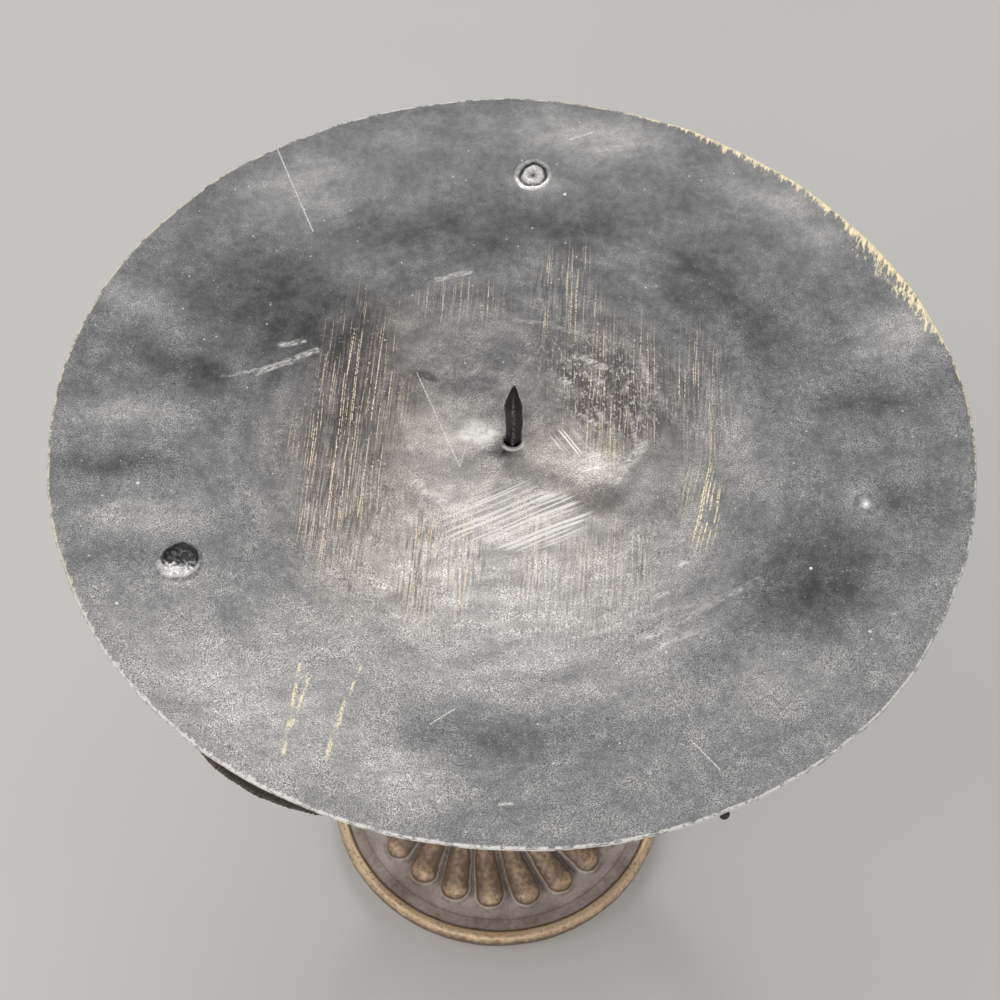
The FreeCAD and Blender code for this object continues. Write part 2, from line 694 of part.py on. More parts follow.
def add_gadroons(body):
    """Ring of tapered lobes that lie half sunk on the dome and swirl towards the neck."""
    blunt = size("gadroon_blunt_radius")
    tip = size("gadroon_tip_radius")
    outer = size("foot_dome_radius - gadroon_inset")
    inner = outer - size("gadroon_length")
    blunt_end = V(outer, 0, dome_height(outer) - blunt + size("gadroon_blunt_proud"))
    tip_end = around_axis(-size("gadroon_swirl")).multVec(V(inner, 0, 0))
    tip_end.z = dome_height(inner) - tip + size("gadroon_tip_proud")
    along = tip_end - blunt_end
    length = along.Length
    level = along.cross(UP).normalize()
    lobe = plane_sketch(body, "gadroon_profile", "XY_Plane")
    lobe.AttachmentOffset = FreeCAD.Placement(
        blunt_end, FreeCAD.Rotation(along, level.cross(along), level, "XZY"))
    slant = math.acos((blunt - tip) / length)
    touch = V(math.cos(slant), math.sin(slant), 0)
    outline = [
        Part.ArcOfCircle(Part.Circle(V(), UP, blunt), slant, math.pi),
        Part.LineSegment(touch * blunt, touch * tip + V(length, 0, 0)),
        Part.ArcOfCircle(Part.Circle(V(length, 0, 0), UP, tip), 0, slant),
        Part.LineSegment(V(length + tip, 0, 0), V(-blunt, 0, 0)),
    ]
    for edge in outline:
        lobe.addGeometry(edge)
    for first, first_end, second, second_end in ((0, 1, 1, 1), (1, 2, 2, 2), (2, 1, 3, 1), (3, 2, 0, 2)):
        lobe.addConstraint(Sketcher.Constraint("Coincident", first, first_end, second, second_end))
    for edge, text in ((0, "gadroon_blunt_radius"), (2, "gadroon_tip_radius")):
        limit = lobe.addConstraint(Sketcher.Constraint("Radius", edge, size(text)))
        lobe.setExpression(f"Constraints[{limit}]", bound(text))
    doc.recompute()
    turning = body.newObject("PartDesign::Revolution", "gadroon")
    turning.Profile = lobe
    turning.ReferenceAxis = (lobe, ["H_Axis"])
    turning.Angle = 360
    doc.recompute()
    ring_of_lobes = body.newObject("PartDesign::PolarPattern", "gadroons")
    ring_of_lobes.Originals = [turning]
    upright = next(part for part in body.Origin.OriginFeatures if part.Role == "Z_Axis")
    ring_of_lobes.Axis = (upright, [""])
    ring_of_lobes.Angle = 360
    bind(ring_of_lobes, Occurrences="gadroon_count")
    body.Tip = ring_of_lobes
    doc.recompute()


def make_foot():
    """Casting with a recessed underside, a beaded edge, a ledge and a hollow dome that rises to the neck."""
    body = turned("foot_casting", [
        ("rod_bore", "foot_ceiling"),
        ("foot_recess_radius - foot_recess_slant", "foot_ceiling"),
        ("foot_recess_radius", "bumper_height"),
        ("foot_radius - foot_edge_taper", "bumper_height", swell("foot_edge_taper / 4")),
        ("foot_radius", "foot_bead_middle", rounded("foot_bead_radius")),
        ("foot_ledge_outer", "foot_ledge_height"),
        ("foot_dome_radius", "foot_ledge_height", hollow("foot_dome_hollow")),
        ("foot_neck_radius", "foot_dome_top"),
        ("foot_neck_radius", "foot_height"),
        ("rod_bore", "foot_height"),
    ])
    add_gadroons(body)
    body.Placement = around_axis(size("gadroon_phase"))
    piece(body, "foot")


def make_bumpers():
    """Rubber bumpers in a ring under the foot."""
    count = int(size("bumper_count"))
    bumpers = []
    for index in range(count):
        bumper = doc.addObject("Part::Cone", f"bumper_{index + 1}")
        bind(bumper, Radius1="bumper_radius - bumper_taper", Radius2="bumper_radius")
        bind(bumper, Height="bumper_height")
        bumper.Placement = around_axis(360 / count * (index + 0.5), size("bumper_distance"))
        bumpers.append(bumper)
    piece(compound("bumpers", bumpers), "foot_bumpers")


space_above_pan = make_headspace()
make_pan()
make_welds(space_above_pan)
make_pricket()
for arm_side in ARM_SIDES:
    make_arm(arm_side, space_above_pan)
make_rivets()
make_hub()
make_stem()
make_rod()
make_foot()
make_bumpers()
doc.recompute()

for feature in doc.Objects:
    if "Invalid" in feature.State or "Error" in feature.State:
        raise RuntimeError(f"{feature.Label} could not be built: {feature.State}")
for finished in pieces:
    if finished.Shape.isNull() or not finished.Shape.isValid():
        raise RuntimeError(f"{finished.Label} is not a sound solid")

os.makedirs("parts", exist_ok=True)
for finished in pieces:
    finished.Shape.exportStep(f"parts/{finished.Label}.step")
    print(finished.Label, len(finished.Shape.Solids), round(finished.Shape.Volume, 1))
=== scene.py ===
"""Looks of the candle stand: worn black drip pan and pricket, scrolled iron arms and a bronzed foot."""

import math

import bpy
import numpy as np
from mathutils import Matrix, Vector, noise


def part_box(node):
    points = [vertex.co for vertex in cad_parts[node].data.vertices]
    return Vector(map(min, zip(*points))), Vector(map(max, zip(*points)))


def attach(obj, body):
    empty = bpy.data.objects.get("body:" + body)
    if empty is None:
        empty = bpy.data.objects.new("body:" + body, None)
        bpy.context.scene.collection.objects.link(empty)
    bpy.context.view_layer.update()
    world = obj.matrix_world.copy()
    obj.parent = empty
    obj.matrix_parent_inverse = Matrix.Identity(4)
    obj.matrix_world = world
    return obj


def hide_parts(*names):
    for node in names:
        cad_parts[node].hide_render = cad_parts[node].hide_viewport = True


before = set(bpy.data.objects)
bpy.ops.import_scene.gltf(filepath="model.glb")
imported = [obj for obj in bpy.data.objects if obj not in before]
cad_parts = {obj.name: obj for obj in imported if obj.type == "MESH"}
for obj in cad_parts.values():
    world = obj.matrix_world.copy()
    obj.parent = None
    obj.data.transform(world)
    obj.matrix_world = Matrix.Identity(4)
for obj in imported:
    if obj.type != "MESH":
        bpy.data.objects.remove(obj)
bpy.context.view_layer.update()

# Sizes below are in millimetres, and a mesh is scaled to metres when it is made
MM = 0.001
ARM_SIDES = ("rear", "left", "right")

# Drip pan
pan_low, pan_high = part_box("drip_pan")
PAN_RADIUS = pan_high.x / MM
PAN_RIM = pan_high.z / MM
PAN_UNDER = pan_low.z / MM
PAN_SHEET = 1.5
PAN_FLAT = 34.0
PAN_HOLE = 2.5
PAN_DEPTH = PAN_RIM - PAN_UNDER - PAN_SHEET
PAN_MIDDLE = PAN_RIM - PAN_DEPTH
PAN_CURVE = ((PAN_RADIUS - PAN_FLAT) ** 2 + PAN_DEPTH ** 2) / (2 * PAN_DEPTH)
PAN_AROUND = 540
PAN_RINGS = 130

# Camera, solved from the outline of the pan and the foot in the photograph
CAMERA_ELEVATION = 52.85
CAMERA_DISTANCE = 4.32 * PAN_RADIUS
CAMERA_ROLL = math.radians(2.4)
CAMERA_LOOK_RIGHT = -0.005
CAMERA_LOOK_UP = -0.038
LENS = 72.0
SENSOR = 36.0


# Mesh helpers

def link(name, mesh, material):
    """New object for a mesh, in the scene, with its material."""
    piece = bpy.data.objects.new(name, mesh)
    bpy.context.scene.collection.objects.link(piece)
    mesh.materials.clear()
    mesh.materials.append(material)
    mesh.shade_smooth()
    return piece


def lofted(name, rings, material, loop=False):
    """Skin through closed rings of points, capped at its ends or joined last to first."""
    rings = np.asarray(rings, float)
    count, around = rings.shape[:2]
    corner = np.arange(count * around).reshape(count, around)
    after = np.roll(corner, -1, axis=1)
    rows = count if loop else count - 1
    upper = np.roll(corner, -1, axis=0)
    upper_after = np.roll(after, -1, axis=0)
    faces = np.stack([corner, after, upper_after, upper], axis=-1)[:rows].reshape(-1, 4).tolist()
    if not loop:
        faces.append(corner[0][::-1].tolist())
        faces.append(corner[-1].tolist())
    mesh = bpy.data.meshes.new(name)
    mesh.from_pydata((rings.reshape(-1, 3) * MM).tolist(), [], faces)
    return link(name, mesh, material)


def on_frame(piece, slot, *nodes):
    """Hang a piece on the frame and hide the nodes it stands for; its slot is not used."""
    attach(piece, "root")
    if nodes:
        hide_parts(*nodes)
    return piece


def store(mesh, name, values):
    """Keep one number a point on a mesh, for its material."""
    attribute = mesh.attributes.new(name, "FLOAT", "POINT")
    attribute.data.foreach_set("value", np.asarray(values, np.float32).ravel())


def positions(mesh):
    """Points of a mesh in millimetres."""
    points = np.empty(len(mesh.vertices) * 3)
    mesh.vertices.foreach_get("co", points)
    return points.reshape(-1, 3) / MM


def normals(mesh):
    """Normals of a mesh at its points."""
    found = np.empty(len(mesh.vertices) * 3, np.float32)
    mesh.vertex_normals.foreach_get("vector", found)
    return found.reshape(-1, 3).astype(float)


def averaged(mesh, values, rounds):
    """Values at the points of a mesh, blurred along its edges."""
    edges = np.empty(len(mesh.edges) * 2, int)
    mesh.edges.foreach_get("vertices", edges)
    first, second = edges.reshape(-1, 2).T
    count = len(mesh.vertices)
    degree = np.bincount(first, minlength=count) + np.bincount(second, minlength=count)
    blurred = np.array(values, float)
    for _ in range(rounds):
        total = np.empty_like(blurred)
        for axis in range(blurred.shape[1]):
            column = blurred[:, axis]
            total[:, axis] = np.bincount(first, column[second], count)
            total[:, axis] += np.bincount(second, column[first], count)
        blurred = 0.5 * blurred + 0.5 * total / degree[:, None]
    return blurred


def rough_noise(points, size, seed):
    """Smooth noise from about -1 to 1 at points, with features of a size."""
    shift = Vector((seed, seed * 0.7, -seed))
    return np.array([noise.noise(Vector(point) / size + shift) for point in points])


def smooth_step(values, low, high):
    """0 below low, 1 above high and an even S between them."""
    share = np.clip((np.asarray(values, float) - low) / (high - low), 0, 1)
    return share * share * (3 - 2 * share)


def hump(values, middle, width):
    """1 at the middle, falling away over a width to each side."""
    return np.exp(-((values - middle) / width) ** 2)


def ring(reach, turns, height, middle=(0.0, 0.0)):
    """Points at a reach from a middle in plan and at a height, one for each turn."""
    x = middle[0] + reach * np.cos(turns)
    y = middle[1] + reach * np.sin(turns)
    return np.stack([x, y, np.broadcast_to(height, x.shape)], axis=1)


# Node helpers

def srgb(red, green, blue):
    """Linear colour of 8-bit display values."""
    channels = []
    for value in (red, green, blue):
        share = value / 255
        channels.append(share / 12.92 if share <= 0.04045 else ((share + 0.055) / 1.055) ** 2.4)
    return (*channels, 1.0)


# Raked lines: size and reach of their sway, share of a lane that a line shifts in,
# and factors that draw a line's start and strength from one chance
RAKE_SWAY_SIZE = 22
RAKE_SWAY = 1.6
RAKE_SHIFT = 0.7
RAKE_START = 900.0
RAKE_SHUFFLE = 57.0


class Graph:
    """One material's nodes, with short calls for the usual ones. Lengths are in millimetres."""

    def __init__(self, name):
        self.material = bpy.data.materials.new(name)
        self.material.use_nodes = True
        self.tree = self.material.node_tree
        self.shader = self.tree.nodes["Principled BSDF"]
        self.point = self.scaled(self.node("TexCoord")["Object"], 1 / MM)
        self.plan = self.vector("MULTIPLY", self.point, (1, 1, 0))
        # Place in plan, and the one for patches, which a material may let drift
        self.place = (self.part(self.point, 0), self.part(self.point, 1))
        self.drifted = self.place

    def feed(self, socket, value):
        """Link a socket to another, or set its value."""
        if isinstance(value, bpy.types.NodeSocket):
            self.tree.links.new(value, socket)
        else:
            socket.default_value = value

    def node(self, kind, inputs=(), **settings):
        """Outputs of a new node, with its settings and its inputs by index or name."""
        node = self.tree.nodes.new("ShaderNode" + kind)
        for name, value in settings.items():
            setattr(node, name, value)
        for key, value in dict(inputs).items():
            self.feed(node.inputs[key], value)
        return node.outputs

    def number(self, operation, *values, clamp=False):
        """Result of a math node."""
        return self.node("Math", enumerate(values), operation=operation, use_clamp=clamp)[0]

    def vector(self, operation, *values):
        """Result of a vector math node, a number where the operation gives one."""
        outputs = self.node("VectorMath", enumerate(values), operation=operation)
        return outputs[1 if operation in ("LENGTH", "DOT_PRODUCT") else 0]

    def scaled(self, vector, amount):
        """Vector times a number."""
        return self.node("VectorMath", {0: vector, "Scale": amount}, operation="SCALE")[0]

    def joined(self, operation, values):
        """Numbers joined one after another by a math node each."""
        result = None
        for value in values:
            result = value if result is None else self.number(operation, result, value)
        return result

    def times(self, *values):
        """Product of numbers."""
        return self.joined("MULTIPLY", values)

    def total(self, *values):
        """Sum of numbers."""
        return self.joined("ADD", values)

    def most(self, *values):
        """Largest of numbers."""
        return self.joined("MAXIMUM", values)

    def places(self, marks):
        """Sum of soft ellipses given by middle, half size, turn and strength."""
        spots = (self.times(self.patch(*mark[:3], core=0.0), mark[3]) for mark in marks)
        return self.joined("ADD", spots)

    def strokes(self, lines):
        """Strongest of lines given by start, end, width and, where it is less than 1, strength."""
        marks = (self.times(self.stroke(*line[:3]), *line[3:]) for line in lines)
        return self.joined("MAXIMUM", marks)

    def band(self, value, low, high, start=0.0, end=1.0):
        """Even S from start at low to end at high."""
        values = enumerate((value, low, high, start, end))
        return self.node("MapRange", values, interpolation_type="SMOOTHSTEP")[0]

    def mix(self, share, first, second):
        """Blend of two colours."""
        return self.node("Mix", {0: share, 6: first, 7: second}, data_type="RGBA")[2]

    def attribute(self, name):
        """Number kept at the points of the mesh."""
        return self.node("Attribute", attribute_name=name)["Fac"]

    def turned(self, vector, degrees):
        """Vector turned about the upright axis, its first part along that direction."""
        inputs = {"Vector": vector, "Angle": math.radians(-degrees)}
        return self.node("VectorRotate", inputs, rotation_type="Z_AXIS")[0]

    def noise(self, size, detail=2.0, stretch=(1, 1, 1), turn=0.0, seed=0.0, roughness=0.5, output=0):
        """Noise about 0.5 with features of a size, drawn out along the axes after a turn."""
        place = self.turned(self.point, turn) if turn else self.point
        per_size = tuple(1 / (size * length) for length in stretch)
        place = self.vector("MULTIPLY_ADD", place, per_size, (seed, -seed, seed / 2))
        return self.noise_at(place, detail, roughness, output)

    def noise_at(self, place, detail, roughness, output=0):
        """Noise with features of size 1 at a vector: a number from output 0, three from output 1."""
        inputs = {"Vector": place, "Scale": 1.0, "Detail": detail, "Roughness": roughness}
        return self.node("TexNoise", inputs)[output]

    def specks(self, spacing, radius, share, seed=0.0):
        """Scattered round dots, in a share of the cells of a spacing."""
        place = self.vector("MULTIPLY_ADD", self.point, (1 / spacing,) * 3, (seed, seed, seed))
        cells = self.node("TexVoronoi", {"Vector": place, "Scale": 1.0})
        dot = self.band(cells["Distance"], radius / spacing, radius / spacing / 2)
        chance = self.node("SeparateColor", {0: cells["Color"]})[0]
        return self.times(dot, self.band(chance, 1 - share, 1 - share + 0.02))

    def part(self, vector, index):
        """One part of a vector: 0, 1 or 2 for x, y or z."""
        return self.node("SeparateXYZ", {0: vector})[index]

    def rakes(self, spacing, width, length, turn, least, seed):
        """Thin lines along Y after a turn, a spacing apart, in runs where noise of a length passes least."""
        sway = self.scaled(self.noise(RAKE_SWAY_SIZE, detail=1, seed=seed, output=1), RAKE_SWAY)
        place = self.turned(self.vector("ADD", self.plan, sway), turn)
        lane = self.number("MULTIPLY_ADD", self.part(place, 0), 1 / spacing, seed)
        cell = self.number("FLOOR", lane)
        drawn = self.node("TexWhiteNoise", {"W": cell}, noise_dimensions="1D")["Value"]
        middle = self.number("MULTIPLY_ADD", drawn, RAKE_SHIFT, (1 - RAKE_SHIFT) / 2)
        across = self.number("SUBTRACT", lane, cell)
        gap = self.number("ABSOLUTE", self.number("SUBTRACT", across, middle))
        line = self.band(gap, width / spacing / 2, width / spacing / 6)
        start = self.times(drawn, RAKE_START)
        step = self.number("MULTIPLY_ADD", self.part(place, 1), 1 / length, start)
        run = self.node("TexNoise", {"W": step, "Scale": 1.0, "Detail": 1.0}, noise_dimensions="1D")[0]
        shuffled = self.number("FRACT", self.times(drawn, RAKE_SHUFFLE))
        strength = self.band(shuffled, 0.1, 0.95, 0.15, 1.15)
        return self.times(line, strength, self.band(run, least, least + 0.08))

    def along(self, place, way, start):
        """How far a place in plan lies along a way from a start."""
        back = -(way[0] * start[0] + way[1] * start[1])
        part = self.number("MULTIPLY_ADD", place[1], way[1], back)
        return self.number("MULTIPLY_ADD", place[0], way[0], part)

    def reach(self, first, second):
        """Length of two numbers at a right angle."""
        squares = self.number("MULTIPLY_ADD", first, first, self.times(second, second))
        return self.number("SQRT", squares)

    def stroke(self, start, end, width):
        """Line across the plan from one point to another, soft at its edges."""
        length = math.hypot(end[0] - start[0], end[1] - start[1])
        ahead = ((end[0] - start[0]) / length, (end[1] - start[1]) / length)
        run = self.along(self.place, ahead, start)
        share = self.number("MULTIPLY", run, 1 / length, clamp=True)
        past = self.number("MULTIPLY_ADD", share, -length, run)
        aside = self.along(self.place, (-ahead[1], ahead[0]), start)
        return self.band(self.reach(past, aside), width / 2, width / 6)

    def patch(self, middle, half_size, turn=0.0, core=0.35):
        """Soft ellipse in plan: 1 inside its core and 0 past its half size."""
        cosine = math.cos(math.radians(turn))
        sine = math.sin(math.radians(turn))
        first = self.along(self.drifted, (cosine / half_size[0], sine / half_size[0]), middle)
        second = self.along(self.drifted, (-sine / half_size[1], cosine / half_size[1]), middle)
        return self.band(self.reach(first, second), 1.0, core)

    def sector(self, azimuth, half_angle):
        """1 towards an azimuth and 0 past the half angle to each side of it."""
        angle = math.radians(azimuth)
        way = (math.cos(angle), math.sin(angle), 0)
        facing = self.vector("DOT_PRODUCT", self.vector("NORMALIZE", self.plan), way)
        edge = math.cos(math.radians(half_angle))
        core = math.cos(math.radians(half_angle / 3))
        return self.band(facing, edge, core)

    def bump(self, height, depth):
        """Normal of a height from 0 to 1 that is a depth tall."""
        return self.node("Bump", {"Strength": 1.0, "Distance": depth * MM, "Height": height})[0]

    def finish(self, colour, roughness, metallic=None, normal=None):
        """Feed the shader and hand the material over."""
        self.feed(self.shader.inputs["Base Color"], colour)
        self.feed(self.shader.inputs["Roughness"], roughness)
        if metallic is not None:
            self.feed(self.shader.inputs["Metallic"], metallic)
        if normal is not None:
            self.feed(self.shader.inputs["Normal"], normal)
        return self.material


# Paint of the pan

COPPER = srgb(240, 218, 188)
BROWNED = srgb(54, 46, 40)
BRASS = srgb(248, 232, 190)
SILVER = srgb(240, 236, 230)
PAINT_COOL = (0.99, 0.995, 1.025, 1.0)
PAINT_WARM = (1.03, 1.0, 0.965, 1.0)
PAINT_TANNED = (1.1, 1.0, 0.89)
# Brightness of whole paint, and the shares of it that sheen and lamps give
PAINT_TONE = 0.51
SHEEN = 0.075
LAMPLIGHT = 0.95
# How far the outlines of places drift, and the size of the bends in them
DRIFT = 18.0
DRIFT_SIZE = 26

# Scratches across the pan: start, end and width
WHITE_SCRATCHES = (
    ((-75.1, 101.4), (-61.7, 71.7), 0.55),
    ((13.8, 112), (20.5, 114.8), 0.6),
    ((-27.9, 22.6), (-14.1, -9.6), 0.45),
    ((-14.1, -9.6), (-11.9, 3.2), 0.35),
    ((-17.6, -91.7), (-11.6, -86.8), 0.6),
    ((47.2, -93.5), (54.3, -102.2), 0.55),
    ((0.6, -113.9), (3.6, -113.6), 1.1),
)
GOLD_SCRATCHES = (
    ((-51.6, -75.9), (-53, -103.3), 1.4),
    ((-49, -80), (-52, -96), 1.1),
    ((-38.3, -82.5), (-42.7, -103.9), 1.8),
    ((-36, -75), (-38, -82), 0.9),
)
# Broad rubbed marks: start, end, width and strength
SCUFFS = (
    ((-26.7, -14.7), (-13.3, -25.6), 4.4, 0.8),
    ((36.4, 1), (27.9, -12.9), 4.4, 0.85),
    ((-47.2, -45.6), (-44.4, -47.6), 2.2, 1),
    ((39.6, -49.6), (42.3, -48.2), 2.4, 1),
    ((45.8, -39.1), (47.5, -38.1), 2, 1),
    ((37.2, -62.6), (40.8, -60.6), 2, 0.9),
    ((-24.7, 56.9), (-14.6, 61), 2.6, 0.7),
    ((-0.7, 43.6), (8.5, 42.8), 2.2, 0.4),
    ((9.5, 42), (18.1, 39.6), 2.4, 0.4),
    ((-31.1, 10.3), (-27.5, -5.6), 3.2, 0.3),
    ((-82, 16.4), (-62, 24), 1.5, 0.7),
    ((-73, 18.8), (-57, 28.6), 2.8, 0.9),
    ((-67, 29.5), (-61, 31.5), 2.6, 0.8),
    ((31.8, 13.6), (34.3, 2.2), 2.2, 0.6),
    ((35.1, -63.3), (66.8, -43.6), 3.4, 0.4),
    ((40, -66), (48, -61), 2.2, 0.7),
    ((57, -50), (62, -46.5), 1.6, 0.7),
    ((17.1, 31.2), (25.2, 27.3), 3.4, 1),
    ((13.3, 22.3), (16.2, 20.3), 2.6, 0.9),
    ((20, 24), (24.5, 22), 2.2, 0.7),
    ((18.6, 9.7), (23.1, 7.1), 2.4, 1),
    ((23.1, 11.4), (25.9, 8), 2.4, 0.9),
    ((36, 30), (38, 23), 2.6, 0.6),
    ((22, -62), (47, -52), 2.6, 0.35),
)
# Streaked bands: middle, half size, strength and how brown the ground is
COPPER_BANDS = (
    ((-44, -4), (19, 64), 1, 0.26),
    ((-24, -40), (9, 28), 1, 0.1),
    ((-12, -42), (6, 26), 0.8, 0),
    ((5.5, -36), (5, 22), 0.9, 0),
    ((14, 52), (14, 26), 0.9, 0.2),
    ((28, 18), (24, 34), 0.9, 0.2),
    ((20, -44), (30, 34), 0.5, 0),
    ((-50, -24), (8, 30), 1, 0.1),
    ((37, -38), (4, 16), 0.9, 0),
    ((-16, 50), (22, 16), 0.5, 0.15),
    ((54, 18), (14, 34), 0.7, 0.1),
)
# Places rubbed pale and places of painted highlight: middle, half size, turn and strength
RUBBED_AND_HIGHLIGHT_PLACES = (
    ((-2, -46), (84, 66), 0, 0.19),
    ((-8, -22), (36, 18), 0, 0.1),
    ((-18, 3), (20, 16), 0, 0.18),
    ((20, -2), (28, 16), -20, 0.18),
    ((-64, -88), (66, 34), -35, 0.16),
    ((-22, -109), (22, 13), 0, 0.13),
    ((70, -76), (24, 16), 35, 0.07),
    ((-108, 40), (26, 10), -20, 0.12),
    ((-110, 0), (26, 9), 5, 0.14),
    ((-98, -34), (30, 10), 15, 0.12),
    ((20, 113), (48, 16), -4, 0.18),
    ((-66, 88), (34, 22), 40, 0.14),
    ((74, 92), (30, 18), -40, 0.14),
    ((110, 38), (24, 18), 10, 0.16),
    ((-20, 38), (30, 24), 0, 0.06),
    ((60, 0), (20, 30), 0, 0.09),
    ((-26, -45), (18, 14), 0, 0.09),
    ((22, -7), (16, 12), -20, 0.1),
    ((-36, 108), (16, 10), 0, 0.08),
    ((90, 72), (16, 14), -40, 0.1),
    ((0, 18), (12, 10), 0, 0.09),
    ((-9, -18), (16, 9), 0, 0.06),
    ((3, 96), (14, 9), 0, 0.16),
    ((96, -19), (9, 8), 0, 0.1),
    ((-85, -52), (9, 6), 0, 0.1),
)
# Places where smoke and rubbing have browned the paint
TANNED_PLACES = (
    ((-4, -2), (96, 84), 0, 0.45),
    ((-42, -6), (30, 74), 0, 0.75),
    ((22, 4), (30, 34), 0, 0.55),
    ((-26, -46), (18, 26), 0, 0.35),
    ((24, 28), (26, 24), 0, 0.5),
    ((-38, 38), (24, 22), 0, 0.4),
)
# Places darkened with painted shade, mostly where buckles turn the sheet from the light, and the pricket's
# painted shadow beside its foot
PAINTED_SHADE_PLACES = (
    ((-68, 40), (46, 30), -30, 0.14),
    ((-92, 18), (30, 9), -10, 0.13),
    ((-14, 77), (60, 14), 4, 0.1),
    ((57, 56), (32, 19), -35, 0.11),
    ((18, 74), (15, 12), 0, 0.08),
    ((72, 35), (18, 12), 0, 0.06),
    ((98, 15), (28, 8), 8, 0.08),
    ((110, -18), (20, 12), -10, 0.1),
    ((78, -46), (38, 28), 40, 0.19),
    ((0, -94), (46, 15), 0, 0.11),
    ((-106, -17), (26, 7), 8, 0.12),
    ((-106, -48), (22, 7), 22, 0.06),
    ((-50, 10), (14, 44), 3, 0.08),
    ((-2, -3), (7, 5), 0, 0.2),
    ((-38, 40), (20, 18), 0, 0.07),
    ((-56, -38), (13, 11), 0, 0.06),
    ((-72, -63), (13, 16), 0, 0.05),
    ((54, -72), (13, 11), 0, 0.07),
    ((108, -36), (10, 10), 0, 0.06),
)
# Single places of the wiped middle: middle, half size and turn
GILT_RUB = ((52.4, -20), (8, 20), -11)
BURNT_RUB = ((25, 22), (32, 23), -30)
BURNT_SPOT = ((-26, 21.5), (5, 3), 0)
BURNT_SHADE = ((22, -16), (13, 6), -30)
COMBED_RUB = ((25, 18), (27, 24), 0)
HATCHED_RUB = ((1.0, -24.5), (23, 11), 14)
RAYED_RUB = ((15, 4.5), (7.5, 6), 0)
SPLASHED_RUB = ((-9.5, 4.4), (8, 5.5), -13)
STIPPLED_RUB = ((23, -8), (15, 11), -25)
FLECKED_RUB = ((25, 22), (34, 27), -30)
# Bare rim: how far flakes reach in, and the sectors that add to it by azimuth, half angle and reach
FLAKE_REACH = 0.55
FLAKED_SECTORS = ((45, 34, 3.0), (28, 14, 4.2), (225, 40, 1.2))


def paint_colour(g, tone):
    """Colour of paint that looks as bright as a tone from 0 to 1."""
    lit = g.number("SUBTRACT", g.number("POWER", g.number("MAXIMUM", tone, 0.2), 2.2), SHEEN)
    shade = g.number("MAXIMUM", g.times(lit, 1 / LAMPLIGHT), 0.006)
    return g.scaled(g.mix(g.band(tone, 0.4, 0.75), PAINT_COOL, PAINT_WARM), shade)


